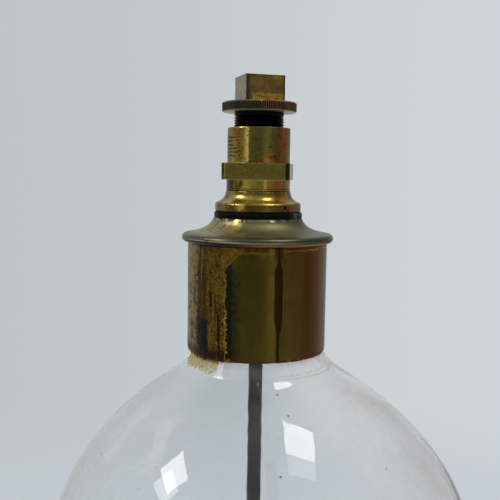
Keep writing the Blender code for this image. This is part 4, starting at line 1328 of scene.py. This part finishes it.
def make_shank():
    """The black shank: a cut thread below, a plain neck through the flange, a tenon on top."""
    root = SHANK_RADIUS - THREAD_DEPTH
    thread_top = 0.2604
    steps = int((thread_top - SHANK_BOTTOM) / THREAD_PITCH * 12)
    side = [(SHANK_RADIUS, float(z)) for z in np.linspace(thread_top, SHANK_BOTTOM, steps)]
    seat, end = FLANGE_TOP + 0.0002, SHANK_BOTTOM - 0.00001
    tenon, neck, bore, bore_top = 0.005, 0.0067, 0.0042, 0.2625
    upper = [(0.0, SHANK_TOP), (tenon, SHANK_TOP), (tenon, seat), (neck, seat), (neck, thread_top + 0.0001),
             (root, thread_top + 0.0001)]
    lower = [(root, end), (bore, end), (bore, bore_top), (0.0, bore_top)]
    upper = rounded(upper, 0.0002, 2, closed=False)
    outline = fine(upper, 0.001, closed=False) + side + fine(lower, 0.001, closed=False)

    def threaded(r, z, theta):
        on_thread = np.abs(r - SHANK_RADIUS) < 1e-7
        ease = np.clip(np.minimum(thread_top - z, z - SHANK_BOTTOM) / 0.0004, 0, 1)
        return np.where(on_thread, root + ease * thread_wave(z, theta) * THREAD_DEPTH, r), z

    mesh = lathe(outline, 128, threaded)
    new_piece("cut_thread", mesh, blackened(), "stopper", "blackened_thread", "threaded_shank")


def make_flange():
    """A disc with straight knurling, its top and bottom edges chamfered through the teeth."""
    chamfer, depth, bore = 0.00045, 0.00026, 0.007
    bottom, top = FLANGE_BOTTOM, FLANGE_TOP + 0.0002
    edge = FLANGE_RADIUS - chamfer
    outline = [(bore, top), (edge - 0.0002, top), (edge, top - 0.00005), (FLANGE_RADIUS, top - chamfer),
               (FLANGE_RADIUS, bottom + chamfer), (edge, bottom + 0.00005), (edge - 0.0002, bottom),
               (bore, bottom)]
    outline = fine(outline, 0.00045)

    def knurled(r, z, theta):
        tooth = np.abs((theta * KNURL_TEETH / math.tau) % 1.0 * 2 - 1)
        cut = FLANGE_RADIUS - depth * np.clip(1.25 * tooth - 0.15, 0, 1)
        return np.minimum(r, cut), z

    mesh = lathe(outline, KNURL_TEETH * 8, knurled)
    new_piece("knurled_disc", mesh, flange_brass(), "stopper", "flange_brass", "knurled_flange")


def make_head():
    """A square bar end with worn edges and faces filed a little out of flat."""
    low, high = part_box("square_head")
    side, height = 0.015, high.z - low.z
    mesh = bpy.data.meshes.new("filed_head")
    shape = bmesh.new()
    bmesh.ops.create_cube(shape, size=1.0)
    size = Matrix.Diagonal((side, side, height + 0.0001, 1))
    bmesh.ops.transform(shape, matrix=size, verts=shape.verts)
    bmesh.ops.bevel(shape, geom=shape.edges[:], offset=0.00028, segments=3, profile=0.6, affect="EDGES",
                    clamp_overlap=True)
    bmesh.ops.subdivide_edges(shape, edges=[e for e in shape.edges if e.calc_length() > 0.004], cuts=16,
                              use_grid_fill=True)
    # Subdividing leaves the faces in an order that changes from run to run.
    shape.verts.index_update()
    shape.faces.sort(key=lambda face: face.verts[0].index * len(shape.verts) + face.verts[2].index)
    for vertex in shape.verts:
        x, y, z = vertex.co
        wear = 0.00006 * (math.sin(900 * z + 400 * x + 1) + math.sin(700 * x - 500 * y + 1100 * z))
        crown = 0.0001 * (1 - (abs(z) / height * 2) ** 2)
        flat = Vector((x, y, 0)).normalized()
        vertex.co += flat * (crown * 0.3 + wear * 0.35)
    turn = Matrix.Rotation(math.radians(HEAD_TURN), 4, "Z")
    place = Matrix.Translation((AXIS_X, 0, (low.z + high.z) / 2)) @ turn
    bmesh.ops.transform(shape, matrix=place, verts=shape.verts)
    shape.to_mesh(mesh)
    shape.free()
    mesh.shade_smooth()
    mesh.set_sharp_from_angle(angle=SHARP)
    new_piece("filed_head", mesh, head_brass(), "stopper", "head_brass", "square_head")


def dress(node, material):
    """A CAD node whose shape is right gets its finished material."""
    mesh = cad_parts[node].data
    mesh.materials.clear()
    mesh.materials.append(material)


# Stage, lights and camera

def make_floor():
    """A pale round table top that fades into the background at its edge."""
    mesh = bpy.data.meshes.new("table")
    shape = bmesh.new()
    bmesh.ops.create_circle(shape, cap_ends=True, segments=96, radius=3)
    shape.to_mesh(mesh)
    shape.free()
    floor = add_object("table", mesh)
    floor.location.z = -0.0002
    n = Material("pale_table")
    pale = n.put("BsdfDiffuse", {"Color": (0.66, 0.69, 0.71, 1)})
    clear = n.put("BsdfTransparent", {})
    fade = n.smooth(n.radius, 0.2, 0.52)
    mesh.materials.append(n.finish(n.blend(fade, pale, clear)))


def make_world():
    """A pale wall for what is seen and for soft light; a dim room with a pale wall for what is mirrored."""
    world = bpy.data.worlds.new("studio")
    bpy.context.scene.world = world
    sky = Nodes(world)
    x, y, z = sky.split(sky.put("TexCoord", {}, "Generated"))
    side = sky.smooth(x, -0.35, 0.35)
    seen = sky.mix(side, (0.515, 0.548, 0.572), (0.625, 0.662, 0.695))
    wall = sky.mix(side, (0.46, 0.48, 0.48), (0.26, 0.275, 0.285))
    room = sky.mix(sky.smooth(y, -0.3, 0.9), (0.054, 0.055, 0.052), wall)
    room = sky.mix(sky.smooth(y, 0.8, 0.97), room, seen)
    room = sky.mix(sky.smooth(z, 0.45, 0.95), room, (0.26, 0.27, 0.27))
    glossy = sky.put("LightPath", {}, "Is Glossy Ray")
    through = sky.put("LightPath", {}, "Is Transmission Ray")
    mirrored = sky.math("SUBTRACT", glossy, through, clamp=True)
    sky.finish(sky.put("Background", {"Color": sky.mix(mirrored, seen, room)}), "OutputWorld")


TARGET = Vector((AXIS_X, 0.0, 0.2))


def make_window(name, azimuth, elevation, distance, width, height, glow, roll=0.0):
    """A softbox seen from the lamp in a direction: azimuth in degrees from the front, to the right."""
    a, e = math.radians(azimuth), math.radians(elevation)
    way = Vector((math.sin(a) * math.cos(e), -math.cos(a) * math.cos(e), math.sin(e)))
    light = bpy.data.lights.new(name, "AREA")
    light.shape = "RECTANGLE"
    light.size, light.size_y = width, height
    light.energy = glow * math.pi * width * height
    lamp = add_object(name, light)
    turn = way.to_track_quat("Z", "Y").to_matrix().to_4x4()
    spin = Matrix.Rotation(math.radians(roll), 4, "Z")
    lamp.matrix_world = Matrix.Translation(TARGET + way * distance) @ turn @ spin
    lamp.visible_camera = False
    lamp.visible_transmission = False


def make_lights():
    """Two windows high at the sides, the dim panes beside them, and faint light from the room's front."""
    make_window("window_right", 77.4, 69.4, 1.6, 0.412, 0.388, 9.0, roll=-73)
    make_window("pane_right", 52.8, 63.6, 1.6, 0.396, 0.239, 2.6, roll=-46)
    make_window("window_left", -78.8, 46.0, 1.6, 0.381, 0.331, 9.0, roll=-9)
    make_window("pane_left", -75.0, 40.3, 1.65, 0.35, 0.28, 5.2, roll=-9)
    make_window("wall_left", -45, 8, 1.8, 0.38, 0.8, 0.6)
    make_window("wall_right", 24, -8, 1.8, 0.24, 0.5, 0.7)
    make_window("wall_corner", 34, 11, 1.8, 0.3, 0.3, 0.6)


def make_camera():
    """Eye level beside the brass work, tipped down a little to take in the globe's shoulder."""
    camera = bpy.data.cameras.new("camera")
    camera.lens = 53.4
    camera.sensor_width = 36.0
    camera.clip_start = 0.01
    eye = add_object("camera", camera)
    place = Matrix.Translation((AXIS_X - 0.00278, -0.283, 0.239))
    tip = Matrix.Rotation(math.radians(90 - 5.85), 4, "X")
    roll = Matrix.Rotation(math.radians(0.81), 4, "Z")
    eye.matrix_world = place @ tip @ roll
    bpy.context.scene.camera = eye


INNER_BRASS = inner_brass()
RESIDUE = shellac()

make_floor()
make_world()
make_lights()
make_camera()
bpy.context.scene.view_settings.view_transform = "Standard"
bpy.context.scene.cycles.max_bounces = 24
bpy.context.scene.cycles.glossy_bounces = 16
bpy.context.scene.cycles.transmission_bounces = 24
bpy.context.scene.cycles.transparent_max_bounces = 32

make_globe()
make_cement()
make_residue("residue_left", -66, 31, 0.0064, 1)
make_residue("residue_right", -44, 23, 0.0068, 2)
make_collar()
make_cap()
make_bush()
make_washer()
make_foot()
make_barrel()
make_tube()
make_wick()
make_stopper_washer()
make_shank()
make_flange()
make_head()
dress("neck_gasket", cork())
dress("rim_wire", iron_wire())
dress("tube_nut", INNER_BRASS)
dress("tube_packing", cotton("oiled_packing", 230))
